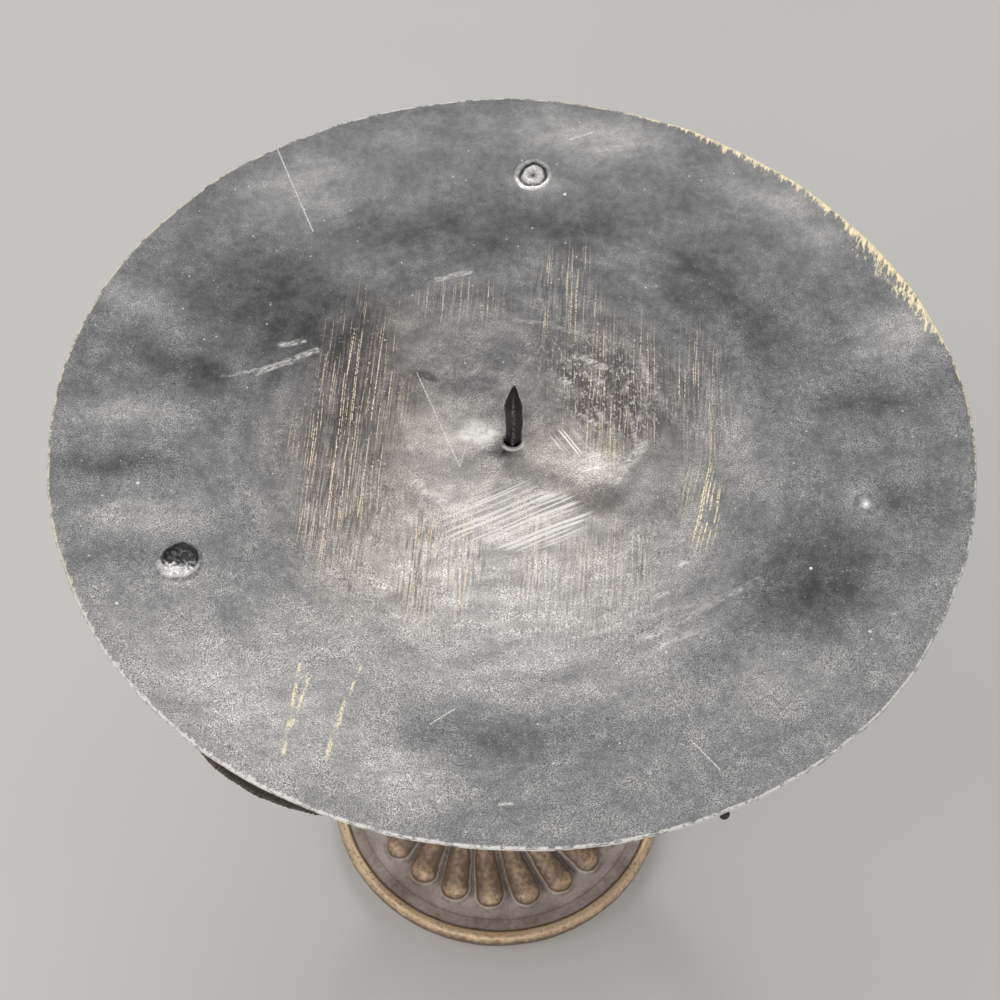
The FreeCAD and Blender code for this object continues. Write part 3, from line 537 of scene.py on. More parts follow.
def pan_paint():
    """Worn black paint on sheet steel, with sandy grain, rubbed streaks, scratches, a bare rim, and painted
    highlights and shade.
    """
    g = Graph("pan_paint")
    inset = g.attribute("inset")
    on_top = g.band(inset, -0.3, 0.3)
    bends = g.vector("SUBTRACT", g.noise(DRIFT_SIZE, detail=3, seed=3.1, output=1), (0.5, 0.5, 0.5))
    drifted = g.vector("ADD", g.plan, g.scaled(bends, DRIFT))
    g.drifted = (g.part(drifted, 0), g.part(drifted, 1))

    # Cloudy paint, rubbed pale and painted with highlight in places, darkened with painted shade in others,
    # and wiped round in arcs
    from_axis = g.vector("LENGTH", g.plan)
    haze = g.noise(9, detail=5, seed=1.3, roughness=0.6)
    pale = g.places(RUBBED_AND_HIGHLIGHT_PLACES)
    dark = g.places(PAINTED_SHADE_PLACES)
    wiped = g.noise(5, detail=4, stretch=(4, 1, 1), turn=14, seed=5.5, roughness=0.6)
    # Paler towards the near side: a painted highlight
    lower = g.band(g.part(g.plan, 1), 40, -70, 0.0, 0.08)
    tone = g.total(PAINT_TONE, lower, pale, g.times(dark, -1.0), g.band(haze, 0.25, 0.75, -0.05, 0.05))
    tone = g.total(tone, g.times(g.band(wiped, 0.3, 0.7, -0.3, 0.3), pale))
    facing = g.vector("NORMALIZE", g.plan)
    outward = g.scaled((0, 0, 1), g.times(from_axis, 0.14))
    around = g.vector("MULTIPLY_ADD", facing, (3, 3, 0), outward)
    arcs = g.noise_at(around, 4, 0.6)
    mottle = g.noise(2.4, detail=3, seed=7.7, roughness=0.6)
    arcs = g.times(g.band(arcs, 0.3, 0.7, -0.05, 0.05), g.band(from_axis, 100, 60, 0.3, 1.0))
    tone = g.total(tone, arcs)
    tone = g.number("ADD", tone, g.band(mottle, 0.3, 0.7, -0.025, 0.03))
    beneath = g.band(inset, -PAN_SHEET + 0.2, -PAN_SHEET)
    above = g.times(tone, g.number("SUBTRACT", 1.0, beneath))
    tone = g.total(above, g.times(beneath, g.band(haze, 0.3, 0.7, 0.3, 0.42)))
    colour = paint_colour(g, tone)

    # Sandy grain, fainter on the far side and where the middle is wiped
    near = g.band(g.part(g.plan, 1), 105, 10, 0.35, 1.0)
    near = g.times(near, g.band(from_axis, 40, 85, 0.85, 1.0), g.band(haze, 0.35, 0.65, 0.65, 1.15))
    grain = g.noise(0.28, stretch=(1.3, 1, 1), turn=35, roughness=0.7)
    sand = g.times(g.band(grain, 0.34, 0.8, -0.6, 1.5), near)
    colour = g.scaled(colour, g.number("ADD", 1.0, sand))

    # Streaks that run to and fro, broken where they skip over the grain
    bands = 0.0
    browned = 0.0
    for middle, half_size, much, brown in COPPER_BANDS:
        spot = g.patch(middle, half_size, core=0.3)
        bands = g.most(bands, g.times(spot, much))
        browned = g.most(browned, g.times(spot, brown))
    brushed = g.noise(0.6, stretch=(1, 14, 1), turn=-2, seed=5.1, roughness=0.6)
    lines = g.times(g.band(brushed, 0.34, 0.66, -0.45, 0.42), bands)
    colour = g.scaled(colour, g.number("ADD", 1.0, lines))
    colour = g.mix(g.places(TANNED_PLACES), colour, g.vector("MULTIPLY", colour, PAINT_TANNED))
    skips = g.band(g.noise(0.45, stretch=(1, 1.6, 1), seed=4.4), 0.4, 0.52)
    tracks = g.band(g.noise(3.6, stretch=(1, 20, 1), turn=-2, seed=6.6), 0.38, 0.54, 0.15, 1.0)
    thick = g.rakes(1.6, 0.42, 28, turn=-2, least=0.41, seed=2.5)
    thin = g.rakes(1.0, 0.32, 18, turn=-1, least=0.42, seed=7.5)
    streak = g.times(g.most(thick, g.times(thin, 0.9)), skips, bands, tracks, on_top, 1.8)
    colour = g.mix(g.times(browned, tracks), colour, BROWNED)
    colour = g.mix(g.number("MINIMUM", streak, 1.0), colour, COPPER)
    gilt = g.rakes(1.0, 0.62, 16, turn=-11.4, least=0.36, seed=3.5)
    yellow = g.times(g.patch(*GILT_RUB, core=0.4), gilt, skips)
    worn = g.noise(1.6, detail=4, stretch=(1, 3, 1), turn=-4, seed=2.8, roughness=0.65)
    worn = g.band(worn, 0.42, 0.56)
    yellow = g.most(yellow, g.times(g.strokes(GOLD_SCRATCHES), skips, worn))
    yellow = g.times(yellow, on_top)

    # Burnt rubs beside the pricket, combed with hair-thin streaks
    burnt = g.band(g.noise(4, detail=4, stretch=(1, 2, 1), seed=8.2, roughness=0.65), 0.44, 0.58)
    burnt = g.times(burnt, g.patch(*BURNT_RUB, core=0.1))
    burnt = g.most(burnt, g.patch(*BURNT_SPOT), g.times(g.patch(*BURNT_SHADE), 0.7))
    colour = g.mix(g.times(burnt, 0.8, on_top), colour, BROWNED)
    combed = g.rakes(0.7, 0.3, 6, turn=1, least=0.46, seed=9.5)
    combed = g.times(combed, g.patch(*COMBED_RUB, core=0.4), skips, 0.6)

    # Hatching of a wire brush, scratches, scuffs, specks and a painted highlight on the near side of the
    # burr round the hole
    hatch = g.rakes(2.1, 1.1, 34, turn=-62, least=0.3, seed=1.5)
    hatch = g.most(hatch, g.times(g.rakes(1.2, 0.55, 24, turn=-60, least=0.38, seed=4.5), 0.9))
    hatch = g.times(g.patch(*HATCHED_RUB, core=0.65), hatch, 2.4)
    white = g.number("MINIMUM", hatch, 1.0)
    rays = g.rakes(1.5, 0.75, 24, turn=35, least=0.3, seed=6.5)
    white = g.most(white, g.times(g.patch(*RAYED_RUB, core=0.5), rays, 1.4))
    scratched = g.times(g.strokes(WHITE_SCRATCHES), g.band(grain, 0.34, 0.52), 0.8)
    rubbed = g.noise(0.9, detail=4, stretch=(2.5, 1, 1), turn=30, seed=7.3, roughness=0.7)
    scuffed = g.times(g.strokes(SCUFFS), g.band(rubbed, 0.36, 0.7))
    splash = g.band(g.noise(1.6, detail=4, seed=3.3), 0.3, 0.6, 0.4, 1.0)
    splash = g.times(g.patch(*SPLASHED_RUB, core=0.3), splash)
    stipple = g.band(g.noise(0.7, detail=3, seed=6.2, roughness=0.7), 0.45, 0.6)
    stipple = g.times(stipple, g.patch(*STIPPLED_RUB, core=0.2), 0.55)
    flecks = g.noise(0.9, detail=3, stretch=(1, 2, 1), turn=20, seed=5.9, roughness=0.7)
    flecks = g.times(g.band(flecks, 0.55, 0.66), g.patch(*FLECKED_RUB, core=0.1), 0.8)
    dots = g.times(g.specks(1.3, 0.28, 0.3, seed=2), g.most(bands, g.times(near, 0.5)), 0.8)
    # Painted highlight: a pale crescent on the near side of the burr round the hole
    lip = g.times(g.band(from_axis, 4.0, 3.3), g.sector(282, 80))
    white = g.most(white, scratched, scuffed, splash, stipple, flecks, dots, combed, lip)
    white = g.most(white, g.times(g.specks(3.4, 0.34, 0.3), 0.8), g.specks(14, 0.65, 0.3, seed=4))
    white = g.times(white, on_top)

    # Bare rim: flakes reach far in at the upper right, and a hairline is bare all round
    flake = g.noise(1.1, detail=4, stretch=(1, 4, 1), turn=-15, seed=3.9, roughness=0.65)
    reach = FLAKE_REACH
    for azimuth, half_angle, much in FLAKED_SECTORS:
        reach = g.total(reach, g.times(g.sector(azimuth, half_angle), much))
    depth = g.number("DIVIDE", inset, reach)
    bare = g.times(g.band(g.number("ADD", depth, g.times(flake, 3.0)), 2.1, 1.5), on_top)
    ragged = g.band(g.noise(2.2, detail=4, seed=1.9, roughness=0.65), 0.41, 0.53)
    edge_line = g.times(g.band(inset, 0.85, 0.35), g.band(inset, -0.6, -0.3), ragged)
    sheared = g.times(g.band(inset, -0.4, -0.55), g.band(inset, -PAN_SHEET, -PAN_SHEET + 0.3))
    sheared = g.times(sheared, g.band(g.noise(3, detail=4, seed=2.4), 0.36, 0.52))
    brassy = g.most(g.sector(40, 62), g.times(g.sector(165, 60), 0.75))
    colour = g.mix(g.most(yellow, g.times(g.most(bare, edge_line), brassy)), colour, BRASS)
    bright_edge = g.times(g.most(bare, edge_line), g.number("SUBTRACT", 1.0, brassy))
    silver = g.most(white, bright_edge, sheared)
    colour = g.mix(g.times(silver, 0.85), colour, SILVER)

    roughness = g.band(haze, 0.3, 0.7, 0.42, 0.5)
    metallic = g.times(g.most(silver, yellow, bare), 0.25)
    g.shader.inputs["IOR"].default_value = 1.45
    return g.finish(colour, roughness, metallic, g.bump(grain, 0.08))


def weld_metal():
    """Painted weld coloured from a stored tone that holds painted highlight and painted shade, bare and
    glossier where the tone is high.
    """
    g = Graph("weld_metal")
    tone = g.attribute("tone")
    grain = g.noise(0.34, roughness=0.7)
    lumps = g.noise(1.2, detail=4, seed=2, roughness=0.65)
    tone = g.number("ADD", tone, g.band(lumps, 0.3, 0.7, -0.08, 0.08))
    colour = g.scaled(paint_colour(g, tone), g.band(grain, 0.34, 0.8, 0.7, 1.8))
    bare = g.band(tone, 0.7, 0.95)
    roughness = g.band(bare, 0, 1, 0.45, 0.3)
    return g.finish(colour, roughness, g.times(bare, 0.3), g.bump(lumps, 0.1))


# Iron blacks: dark, pale, hollow and rubbed
ARM_BLACK = (srgb(24, 22, 21), srgb(44, 40, 37), srgb(84, 72, 60), srgb(120, 104, 86))
# On the pricket the rubbed colour is partly wear and partly a painted highlight along its corners
SPIKE_BLACK = (srgb(14, 13, 13), srgb(26, 25, 25), srgb(44, 38, 34), srgb(128, 124, 120))


def black_iron(name, dark, pale, hollow, rubbed):
    """Black wax finish on forged iron, browned in flecks and rubbed on the corners."""
    g = Graph(name)
    proud = g.attribute("proud")
    cloud = g.noise(9, detail=4)
    scale = g.noise(1.1, detail=3, seed=5, roughness=0.65)
    colour = g.mix(g.band(cloud, 0.35, 0.65), dark, pale)
    colour = g.mix(g.times(g.band(scale, 0.56, 0.7), 0.5), colour, hollow)
    rub = g.times(g.band(proud, 0.02, 0.2), g.band(scale, 0.4, 0.58))
    colour = g.mix(g.times(rub, 0.75), colour, rubbed)
    roughness = g.band(cloud, 0.3, 0.7, 0.4, 0.56)
    g.shader.inputs["IOR"].default_value = 1.38
    return g.finish(colour, roughness, g.times(rub, 0.5), g.bump(scale, 0.16))


BRONZE_BROWN = srgb(98, 77, 61)
BRONZE_SOOT = srgb(52, 43, 37)
BRONZE_GOLD = srgb(240, 208, 170)
BRONZE_CREST = srgb(236, 188, 134)
# Heights between which the foot's ledge ends and the stem's finish starts
LEDGE_LOW = 11
LEDGE_HIGH = 13
STEM_LOW = 12
STEM_HIGH = 24
# Radii of the groove in the ledge, of the rim bead's inner side and of its crown
GROOVE_RADIUS = 51.2
BEAD_INNER = 54.8
BEAD_CROWN = 56.7


def bronze_cast():
    """Antique bronze on a casting: dusty grounds, sooty creases and gold rubbed on the crowns."""
    g = Graph("bronze_cast")
    proud = g.attribute("proud")
    height = g.part(g.point, 2)
    from_axis = g.vector("LENGTH", g.plan)
    cloud = g.noise(12, detail=4, seed=2)
    pits = g.noise(0.9, detail=3, seed=6, roughness=0.65)
    colour = g.mix(g.band(cloud, 0.36, 0.64), srgb(160, 147, 139), srgb(182, 169, 160))
    raised = g.attribute("raised")
    colour = g.mix(g.times(g.band(raised, -0.3, 0.1), 0.95), colour, BRONZE_BROWN)
    colour = g.mix(g.times(g.band(pits, 0.46, 0.34), 0.3), colour, BRONZE_BROWN)
    stain = g.noise(7, detail=5, stretch=(1, 1, 2.2), seed=4, roughness=0.65)
    on_stem = g.band(height, STEM_LOW, STEM_HIGH)
    colour = g.mix(g.times(g.band(stain, 0.42, 0.66), on_stem, 0.75), colour, BRONZE_SOOT)
    glint = g.times(g.band(stain, 0.42, 0.3), g.band(pits, 0.5, 0.62), on_stem)
    colour = g.mix(g.times(glint, 0.5), colour, BRONZE_GOLD)
    colour = g.mix(g.times(g.band(proud, -0.1, -0.4), 0.7), colour, BRONZE_SOOT)
    crest = g.times(g.band(raised, 0.5, 1.5), g.band(pits, 0.3, 0.6), 0.55)
    colour = g.mix(crest, colour, BRONZE_CREST)
    on_ledge = g.band(height, LEDGE_HIGH, LEDGE_LOW)
    groove = g.band(g.number("ABSOLUTE", g.number("SUBTRACT", from_axis, GROOVE_RADIUS)), 0.55, 0.15)
    colour = g.mix(g.times(groove, on_ledge, 0.4), colour, BRONZE_BROWN)
    edge = g.times(g.band(from_axis, BEAD_INNER, BEAD_INNER + 1), on_ledge)
    colour = g.mix(g.times(edge, 0.9), colour, BRONZE_BROWN)
    crown = g.band(g.number("ABSOLUTE", g.number("SUBTRACT", from_axis, BEAD_CROWN)), 1.2, 0.2)
    crown = g.times(edge, crown)
    rub = g.times(g.most(g.band(proud, 0.08, 0.42), crown), g.band(pits, 0.26, 0.46))
    colour = g.mix(g.times(rub, 0.9), colour, BRONZE_GOLD)
    roughness = g.band(pits, 0.3, 0.7, 0.36, 0.52)
    return g.finish(colour, roughness, g.times(rub, 0.45), g.bump(pits, 0.1))


def zinc_steel():
    """Bright zinc on small hardware, mottled and a little stained."""
    g = Graph("zinc_steel")
    mottle = g.noise(2.4, detail=4)
    drag = g.noise(0.5, stretch=(1, 1, 12), seed=3)
    colour = g.mix(g.band(mottle, 0.35, 0.65), srgb(150, 150, 148), srgb(196, 196, 192))
    colour = g.mix(g.times(g.band(mottle, 0.58, 0.74), 0.5), colour, srgb(128, 116, 96))
    roughness = g.band(drag, 0.3, 0.7, 0.26, 0.44)
    g.shader.inputs["Metallic"].default_value = 0.9
    return g.finish(colour, roughness, None, g.bump(drag, 0.03))


def bumper_rubber():
    """Dull dark rubber with a dusty bloom."""
    g = Graph("bumper_rubber")
    dust = g.noise(3, detail=4)
    grain = g.noise(0.5, detail=3, seed=4)
    colour = g.mix(g.band(dust, 0.4, 0.66), srgb(38, 37, 37), srgb(70, 68, 66))
    roughness = g.band(dust, 0.3, 0.7, 0.62, 0.82)
    return g.finish(colour, roughness, None, g.bump(grain, 0.05))


def floor_paper():
    """Pale paper under the stand."""
    g = Graph("floor_paper")
    tooth = g.noise(0.8, detail=3)
    colour = g.mix(g.noise(180), srgb(206, 204, 201), srgb(214, 212, 209))
    return g.finish(colour, 0.8, None, g.bump(tooth, 0.02))


# Drip pan

# Welds: distance out, azimuth and radius of the marks they leave in the pan, how deep these are sunk,
# and how rough each weld's face is
WELD_DISTANCE = 98.0
WELD_AZIMUTHS = {"rear": 88.3, "left": 208.6, "right": 348.8}
WELD_MARKS = {"rear": 6.2, "left": 6.8, "right": 4.2}
WELD_SINK = 1.1
WELD_ROUGHNESS = {"rear": 0.12, "left": 0.34, "right": 0.06}


def weld_middle(side):
    """Middle of a weld in plan."""
    angle = math.radians(WELD_AZIMUTHS[side])
    return WELD_DISTANCE * math.cos(angle), WELD_DISTANCE * math.sin(angle)


def dish(radius):
    """Height of the true dish at a distance from the axis."""
    climb = np.maximum(radius - PAN_FLAT, 0)
    return PAN_MIDDLE + PAN_CURVE - np.sqrt(PAN_CURVE ** 2 - climb ** 2)


# Hand-cut rim: how far inside the true one, waves by count, phase and reach, and a bulge by azimuth,
# width in radians and reach
RIM_INSIDE = 0.4
RIM_WAVES = ((5, 0.8, 0.22), (17, 0.0, 0.12), (43, 2.0, 0.06))
BULGE_AZIMUTH = 318
BULGE_WIDTH = 0.22
BULGE_REACH = 0.9


def rim_radius(azimuth):
    """Reach of the hand-cut rim at an azimuth in radians."""
    bulge = BULGE_REACH * hump(azimuth, math.radians(BULGE_AZIMUTH), BULGE_WIDTH)
    waves = sum(reach * np.sin(count * azimuth + phase) for count, phase, reach in RIM_WAVES)
    return PAN_RADIUS - RIM_INSIDE + waves + bulge


# Flutes that beating left in the rim: azimuth, inner radius, half width and rise
FLUTES = (
    (160.5, 62, 9, 0.62), (184.4, 70, 7, 0.55), (200, 66, 7, 0.5), (214, 76, 9, 0.3),
    (136, 58, 10, 0.6), (118, 70, 9, 0.35), (96, 72, 11, 0.4), (66, 66, 11, 0.45),
    (36, 60, 10, 0.55), (14, 62, 8, 0.55), (356, 84, 6, 0.5), (340, 60, 8, 0.65),
    (322, 70, 9, 0.35), (296, 76, 10, 0.25), (262, 72, 12, 0.3), (238, 72, 10, 0.25),
)
# Knee of the dish, run and trough of a flute, sags and dents
KNEE_INNER = 58.0
KNEE_OUTER = 88.0
KNEE_RISE = 0.5
FLUTE_RUN = 34.0
FLUTE_TROUGH = 0.45
SAG = 0.35
SAG_SIZE = 48
DENT = 0.09
DENT_SIZE = 10


def buckles(x, y):
    """How far the beaten sheet stands off its true dish."""
    radius = np.hypot(x, y)
    knee = smooth_step(radius, KNEE_INNER, KNEE_OUTER) - smooth_step(radius, KNEE_OUTER, PAN_RADIUS)
    rise = KNEE_RISE * knee
    for azimuth, inner, half_width, height in FLUTES:
        angle = math.radians(azimuth)
        along = x * math.cos(angle) + y * math.sin(angle)
        aside = y * math.cos(angle) - x * math.sin(angle)
        crest = hump(aside, 0, half_width) - FLUTE_TROUGH
        fade = hump(aside, 0, 2 * half_width) * smooth_step(along, inner, inner + FLUTE_RUN)
        rise += height * crest * fade
    plan = np.stack([x, y, np.zeros_like(x)], axis=1)
    sags = SAG * rough_noise(plan, SAG_SIZE, 4.2)
    dents = DENT * smooth_step(radius, 85, 30) * rough_noise(plan, DENT_SIZE, 8.1)
    return rise + sags + dents


def beaten(x, y):
    """Height of the beaten sheet's top at places in plan."""
    return dish(np.hypot(x, y)) + buckles(x.ravel(), y.ravel()).reshape(x.shape)


# Rounded corner of the rim, and the sheared edge below it by how far back and how far down
RIM_CORNER = 0.35
EDGE_STEPS = ((0.1, 0.08), (0.0, 0.3), (0.03, 0.5), (0.0, PAN_SHEET - 0.35), (0.12, PAN_SHEET - 0.08))
# Rings of the top for each ring of the underside
UNDER_STRIDE = 4
# Burr round the hole and the dimple that the pricket was driven into: rise, middle and width
BURR = (0.5, PAN_HOLE + 0.4, 0.8)
DIMPLE = (-0.5, 8.0, 3.0)


def make_pan(material):
    """Beaten sheet with a hole for the pricket, a sheared edge and a sunk place for each weld."""
    azimuth = np.linspace(0, 2 * math.pi, PAN_AROUND, endpoint=False)
    rim = rim_radius(azimuth)
    across = np.linspace(0, 1, PAN_RINGS)[:, None]
    radius = PAN_HOLE + (rim - RIM_CORNER - PAN_HOLE) * across
    x = radius * np.cos(azimuth)
    y = radius * np.sin(azimuth)
    sheet = beaten(x, y)
    sunk = np.zeros_like(x)
    for side in ARM_SIDES:
        middle = weld_middle(side)
        mark = WELD_MARKS[side]
        away = np.hypot(x - middle[0], y - middle[1])
        sunk = np.maximum(sunk, WELD_SINK * smooth_step(away, mark - 0.6, mark - 2.2))
    top = sheet - sunk
    for rise, middle, width in (BURR, DIMPLE):
        top += rise * hump(radius, middle, width)

    # Underside from the hole out, sheared edge upwards, top from the rim in
    rings = []
    insets = []
    for index in [*range(0, PAN_RINGS - 1, UNDER_STRIDE), PAN_RINGS - 1]:
        rings.append(ring(radius[index], azimuth, sheet[index] - PAN_SHEET))
        insets.append(radius[index] - rim - PAN_SHEET)
    for back, drop in reversed(EDGE_STEPS):
        rings.append(ring(rim - back, azimuth, sheet[-1] - drop))
        insets.append(np.full(PAN_AROUND, -drop))
    for index in reversed(range(PAN_RINGS)):
        rings.append(ring(radius[index], azimuth, top[index]))
        insets.append(rim - radius[index])
    pan = lofted("drip_pan_sheet", rings, material, loop=True)
    store(pan.data, "inset", np.array(insets))
    return on_frame(pan, "pan_paint", "drip_pan")


# Drop of paint: azimuth, length, and the share of it that swells
DRIP_AZIMUTH = 295.7
DRIP_LENGTH = 3.0
DRIP_SWELL = 0.6


def make_drip(material):
    """Drop of paint that set under the rim."""
    azimuth = math.radians(DRIP_AZIMUTH)
    reach = float(rim_radius(np.array(azimuth))) - 0.5
    middle = (reach * math.cos(azimuth), reach * math.sin(azimuth))
    under = float(dish(np.array(reach))) - PAN_SHEET + 0.4
    turns = np.linspace(0, 2 * math.pi, 20, endpoint=False)
    rings = []
    for share in np.linspace(0, 1, 14):
        if share < DRIP_SWELL:
            radius = 0.25 + 0.95 * math.sin(math.pi * share) ** 0.8
        else:
            radius = 1.2 - 0.4 * (share - DRIP_SWELL)
        lean = 0.5 * math.sin(2.2 * share)
        height = under - DRIP_LENGTH * (1 - share)
        rings.append(ring(radius, turns, height, (middle[0] + lean, middle[1])))
    drip = lofted("paint_drip", rings, material)
    store(drip.data, "proud", np.zeros(len(drip.data.vertices)))
    return on_frame(drip, "arm_black")


# Welds

def weld_relief(side, reach):
    """Height of a weld's face over the dish at a reach from its middle."""
    if side == "rear":
        bead = 0.5 * hump(reach, 2.4, 0.9)
        groove = -0.35 * hump(reach, 3.9, 0.5)
        lip = 0.4 * hump(reach, 5.0, 0.7)
        return bead + groove + lip - 0.4 * hump(reach, 0, 0.9)
    if side == "left":
        return 0.5 * hump(reach, 5.5, 0.6) - 0.7 * smooth_step(reach, 5.2, 3.6)
    return 0.4 * hump(reach, 0, 1.3)


def weld_painted_light_tone(side, reach, angle, lumps):
    """How bright a weld's face is painted at a reach from its middle: the rear and left welds carry painted
    highlight on their near side and painted shade on their far side and in their groove or pit, the right
    weld is pale in its middle.
    """
    nearness = -np.sin(angle)
    if side == "rear":
        # Rear weld: painted highlight on the near crescent of its lip, painted shade in its groove, deeper
        # on the far side, and in its pit
        groove_shade = hump(reach, 3.9, 0.45)
        near_crescent_highlight = hump(reach, 5.0, 0.9) * smooth_step(nearness, -0.1, 0.8)
        pit = hump(reach, 0, 0.9)
        inner = smooth_step(reach, 3.9, 3.0)
        pale = 0.66 + 0.36 * near_crescent_highlight + 0.16 * inner + 0.06 * lumps
        return pale - (0.36 - 0.1 * nearness) * groove_shade - 0.45 * pit
    if side == "left":
        # Left weld: painted highlight on the near wall of its pit, painted shade on the far wall and under
        # the far rim
        inside = smooth_step(reach, 5.9, 4.8)
        lean = 2 * smooth_step(nearness * reach + 1.2 * lumps, -1.2, 2.0) - 1
        shadow = hump(reach, 5.2, 0.5) * smooth_step(nearness, 0.2, -0.6)
        return 0.58 + inside * (0.06 + 0.28 * lean + 0.14 * lumps) - 0.16 * shadow
    return 0.5 + 0.36 * hump(reach, 0, 1.3) + 0.08 * hump(reach, 0, 3.0)


def make_weld(side, material):
    """Weld face that fills the sunk place in the pan and tucks its edge under the paint."""
    middle = weld_middle(side)
    mark = WELD_MARKS[side]
    turns = np.linspace(0, 2 * math.pi, 120, endpoint=False)
    steps = np.linspace(mark, 0.06, 46)[:, None]
    x = middle[0] + steps * np.cos(turns)
    y = middle[1] + steps * np.sin(turns)
    flat = np.stack([x, y, np.zeros_like(x)], axis=-1).reshape(-1, 3)
    sheet = beaten(x, y)
    wobble = 0.07 * np.sin(2 * turns + 2.6) + 0.04 * np.sin(3 * turns) + 0.02 * np.sin(7 * turns)
    reach = steps * (1 + wobble)
    lumps = (rough_noise(flat, 1.1, 5.0) + 0.6 * rough_noise(flat, 0.5, 9.0)).reshape(x.shape)
    rough = WELD_ROUGHNESS[side] * smooth_step(steps, mark - 0.8, mark - 2.4)
    tuck = 0.22 * smooth_step(steps, mark - 0.7, mark)
    face = np.stack([x, y, sheet + weld_relief(side, reach) + rough * lumps - tuck], axis=-1)
    skirt = ring(mark, turns, sheet[0] - 0.6 * PAN_SHEET, middle)
    base = ring(mark / 2, turns, sheet[0] - 0.9 * PAN_SHEET, middle)
    weld = lofted(f"weld_{side}", np.concatenate([[base, skirt], face]), material)
    tone = weld_painted_light_tone(side, reach, turns, lumps)
    store(weld.data, "tone", np.concatenate([np.full(2 * len(turns), 0.4), tone.ravel()]))
    return on_frame(weld, "weld_metal", f"pan_weld_{side}")


# Pricket

# Turn and twist of the shank in degrees, length of the point, and side by share of the shank's height
PRICKET_TURN = 42.0
PRICKET_TWIST = 5.0
PRICKET_POINT = 9.0
PRICKET_SIDES = ((0.0, 3.4), (0.35, 3.5), (1.0, 4.0))
# Side at the very tip, power that squares the shank's corners, and the eased edge of the head
TIP_SIDE = 0.6
CORNER_POWER = 7.0
TIP_POWER = 3.0
HEAD_EASE = 0.3


def make_pricket(material):
    """Forged nail: round head under the pan, square shank with eased corners and a drawn-out point."""
    low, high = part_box("pricket_spike")
    tip = high.z / MM
    seat = low.z / MM
    head = high.x / MM
    shoulder = tip - PRICKET_POINT
    turns = np.linspace(0, 2 * math.pi, 48, endpoint=False)
    rings = []
    head_steps = (
        (head - HEAD_EASE, seat),
        (head, seat + HEAD_EASE),
        (head, PAN_UNDER - HEAD_EASE),
        (head - HEAD_EASE, PAN_UNDER),
    )
    for radius, height in head_steps:
        rings.append(ring(radius, turns, height))
    heights = np.concatenate([np.linspace(PAN_UNDER, shoulder, 40), np.linspace(shoulder, tip, 26)[1:]])
    for height in heights:
        climb = (height - PAN_UNDER) / (shoulder - PAN_UNDER)
        if climb <= 1:
            side = np.interp(climb, *zip(*PRICKET_SIDES))
            power = CORNER_POWER
        else:
            left = (tip - height) / PRICKET_POINT
            side = TIP_SIDE + (PRICKET_SIDES[-1][1] - TIP_SIDE) * left ** 0.85
            power = TIP_POWER + (CORNER_POWER - TIP_POWER) * left
        twist = math.radians(PRICKET_TURN + PRICKET_TWIST * climb)
        corners = np.abs(np.cos(turns)) ** power + np.abs(np.sin(turns)) ** power
        beat = 1 + 0.025 * np.sin(height * 0.7 + 2 * turns) + 0.02 * np.sin(height * 0.35 + 3 * turns)
        reach = side / 2 / corners ** (1 / power) * beat
        lean = 0.25 * math.sin(0.22 * (height - PAN_UNDER))
        rings.append(ring(reach, turns + twist, height, (lean, 0.0)))
    spike = lofted("pricket_nail", rings, material)
    rub_in(spike.data, 12)
    return on_frame(spike, "spike_black", "pricket_spike")


# Castings and forgings, drawn over the frame's own solids

def rub_in(mesh, rounds, name="proud"):
    """Keep how far each point stands proud of the skin around it, in millimetres."""
    points = positions(mesh)
    off = points - averaged(mesh, points, rounds)
    store(mesh, name, np.einsum("ij,ij->i", off, normals(mesh)))


def worked(node, name, material, slot, voxel, ease, beats, rounds):
    """Even skin over a node's solid, with eased edges, beaten by noise of (size, depth) pairs."""
    piece = link(name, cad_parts[node].data.copy(), material)
    even = piece.modifiers.new("even", "REMESH")
    even.mode = "VOXEL"
    even.voxel_size = voxel * MM
    eased = piece.modifiers.new("eased", "SMOOTH")
    eased.factor = 0.5
    eased.iterations = ease
    graph = bpy.context.evaluated_depsgraph_get()
    mesh = bpy.data.meshes.new_from_object(piece.evaluated_get(graph))
    piece.modifiers.clear()
    piece.data = mesh
    mesh.materials.clear()
    mesh.materials.append(material)
    mesh.shade_smooth()
    points = positions(mesh)
    out = normals(mesh)
    for seed, (size, depth) in enumerate(beats):
        points += out * (depth * rough_noise(points, size, 3.0 + seed))[:, None]
    mesh.vertices.foreach_set("co", (points * MM).ravel())
    mesh.update()
    rub_in(mesh, rounds)
    return on_frame(piece, slot, node)


# Beats as size and depth pairs, and rounds of blur that tell proud corners and, wider, whole lobes
ARM_BEATS = ((9, 0.28), (2.2, 0.06))
STEM_BEATS = ((6, 0.12), (1.5, 0.07))
FOOT_BEATS = ((7, 0.16), (1.6, 0.09))
RUB_ROUNDS = 14
FOOT_RUB_ROUNDS = 26
LOBE_ROUNDS = 160
STEM_CASTINGS = ("arm_hub", "neck_ring", "lower_knop", "stem_vase", "upper_ring", "pan_cup")


def make_iron_and_bronze(iron, bronze):
    """Arms, stem and foot."""
    for side in ARM_SIDES:
        node = f"scroll_arm_{side}"
        worked(node, f"arm_{side}", iron, "arm_black", 0.7, 4, ARM_BEATS, RUB_ROUNDS)
    for node in STEM_CASTINGS:
        worked(node, f"{node}_casting", bronze, "bronze_cast", 0.6, 3, STEM_BEATS, RUB_ROUNDS)
    foot = worked("foot", "foot_casting", bronze, "bronze_cast", 0.55, 5, FOOT_BEATS, FOOT_RUB_ROUNDS)
    rub_in(foot.data, LOBE_ROUNDS, "raised")


# Hardware

ROD_RADIUS = 3.0
ROD_PITCH = 1.0
THREAD_DEPTH = 0.4
ROD_CHAMFER = 0.5
CHAMFER_HEIGHT = 0.6
HARDWARE_EASE = 0.25


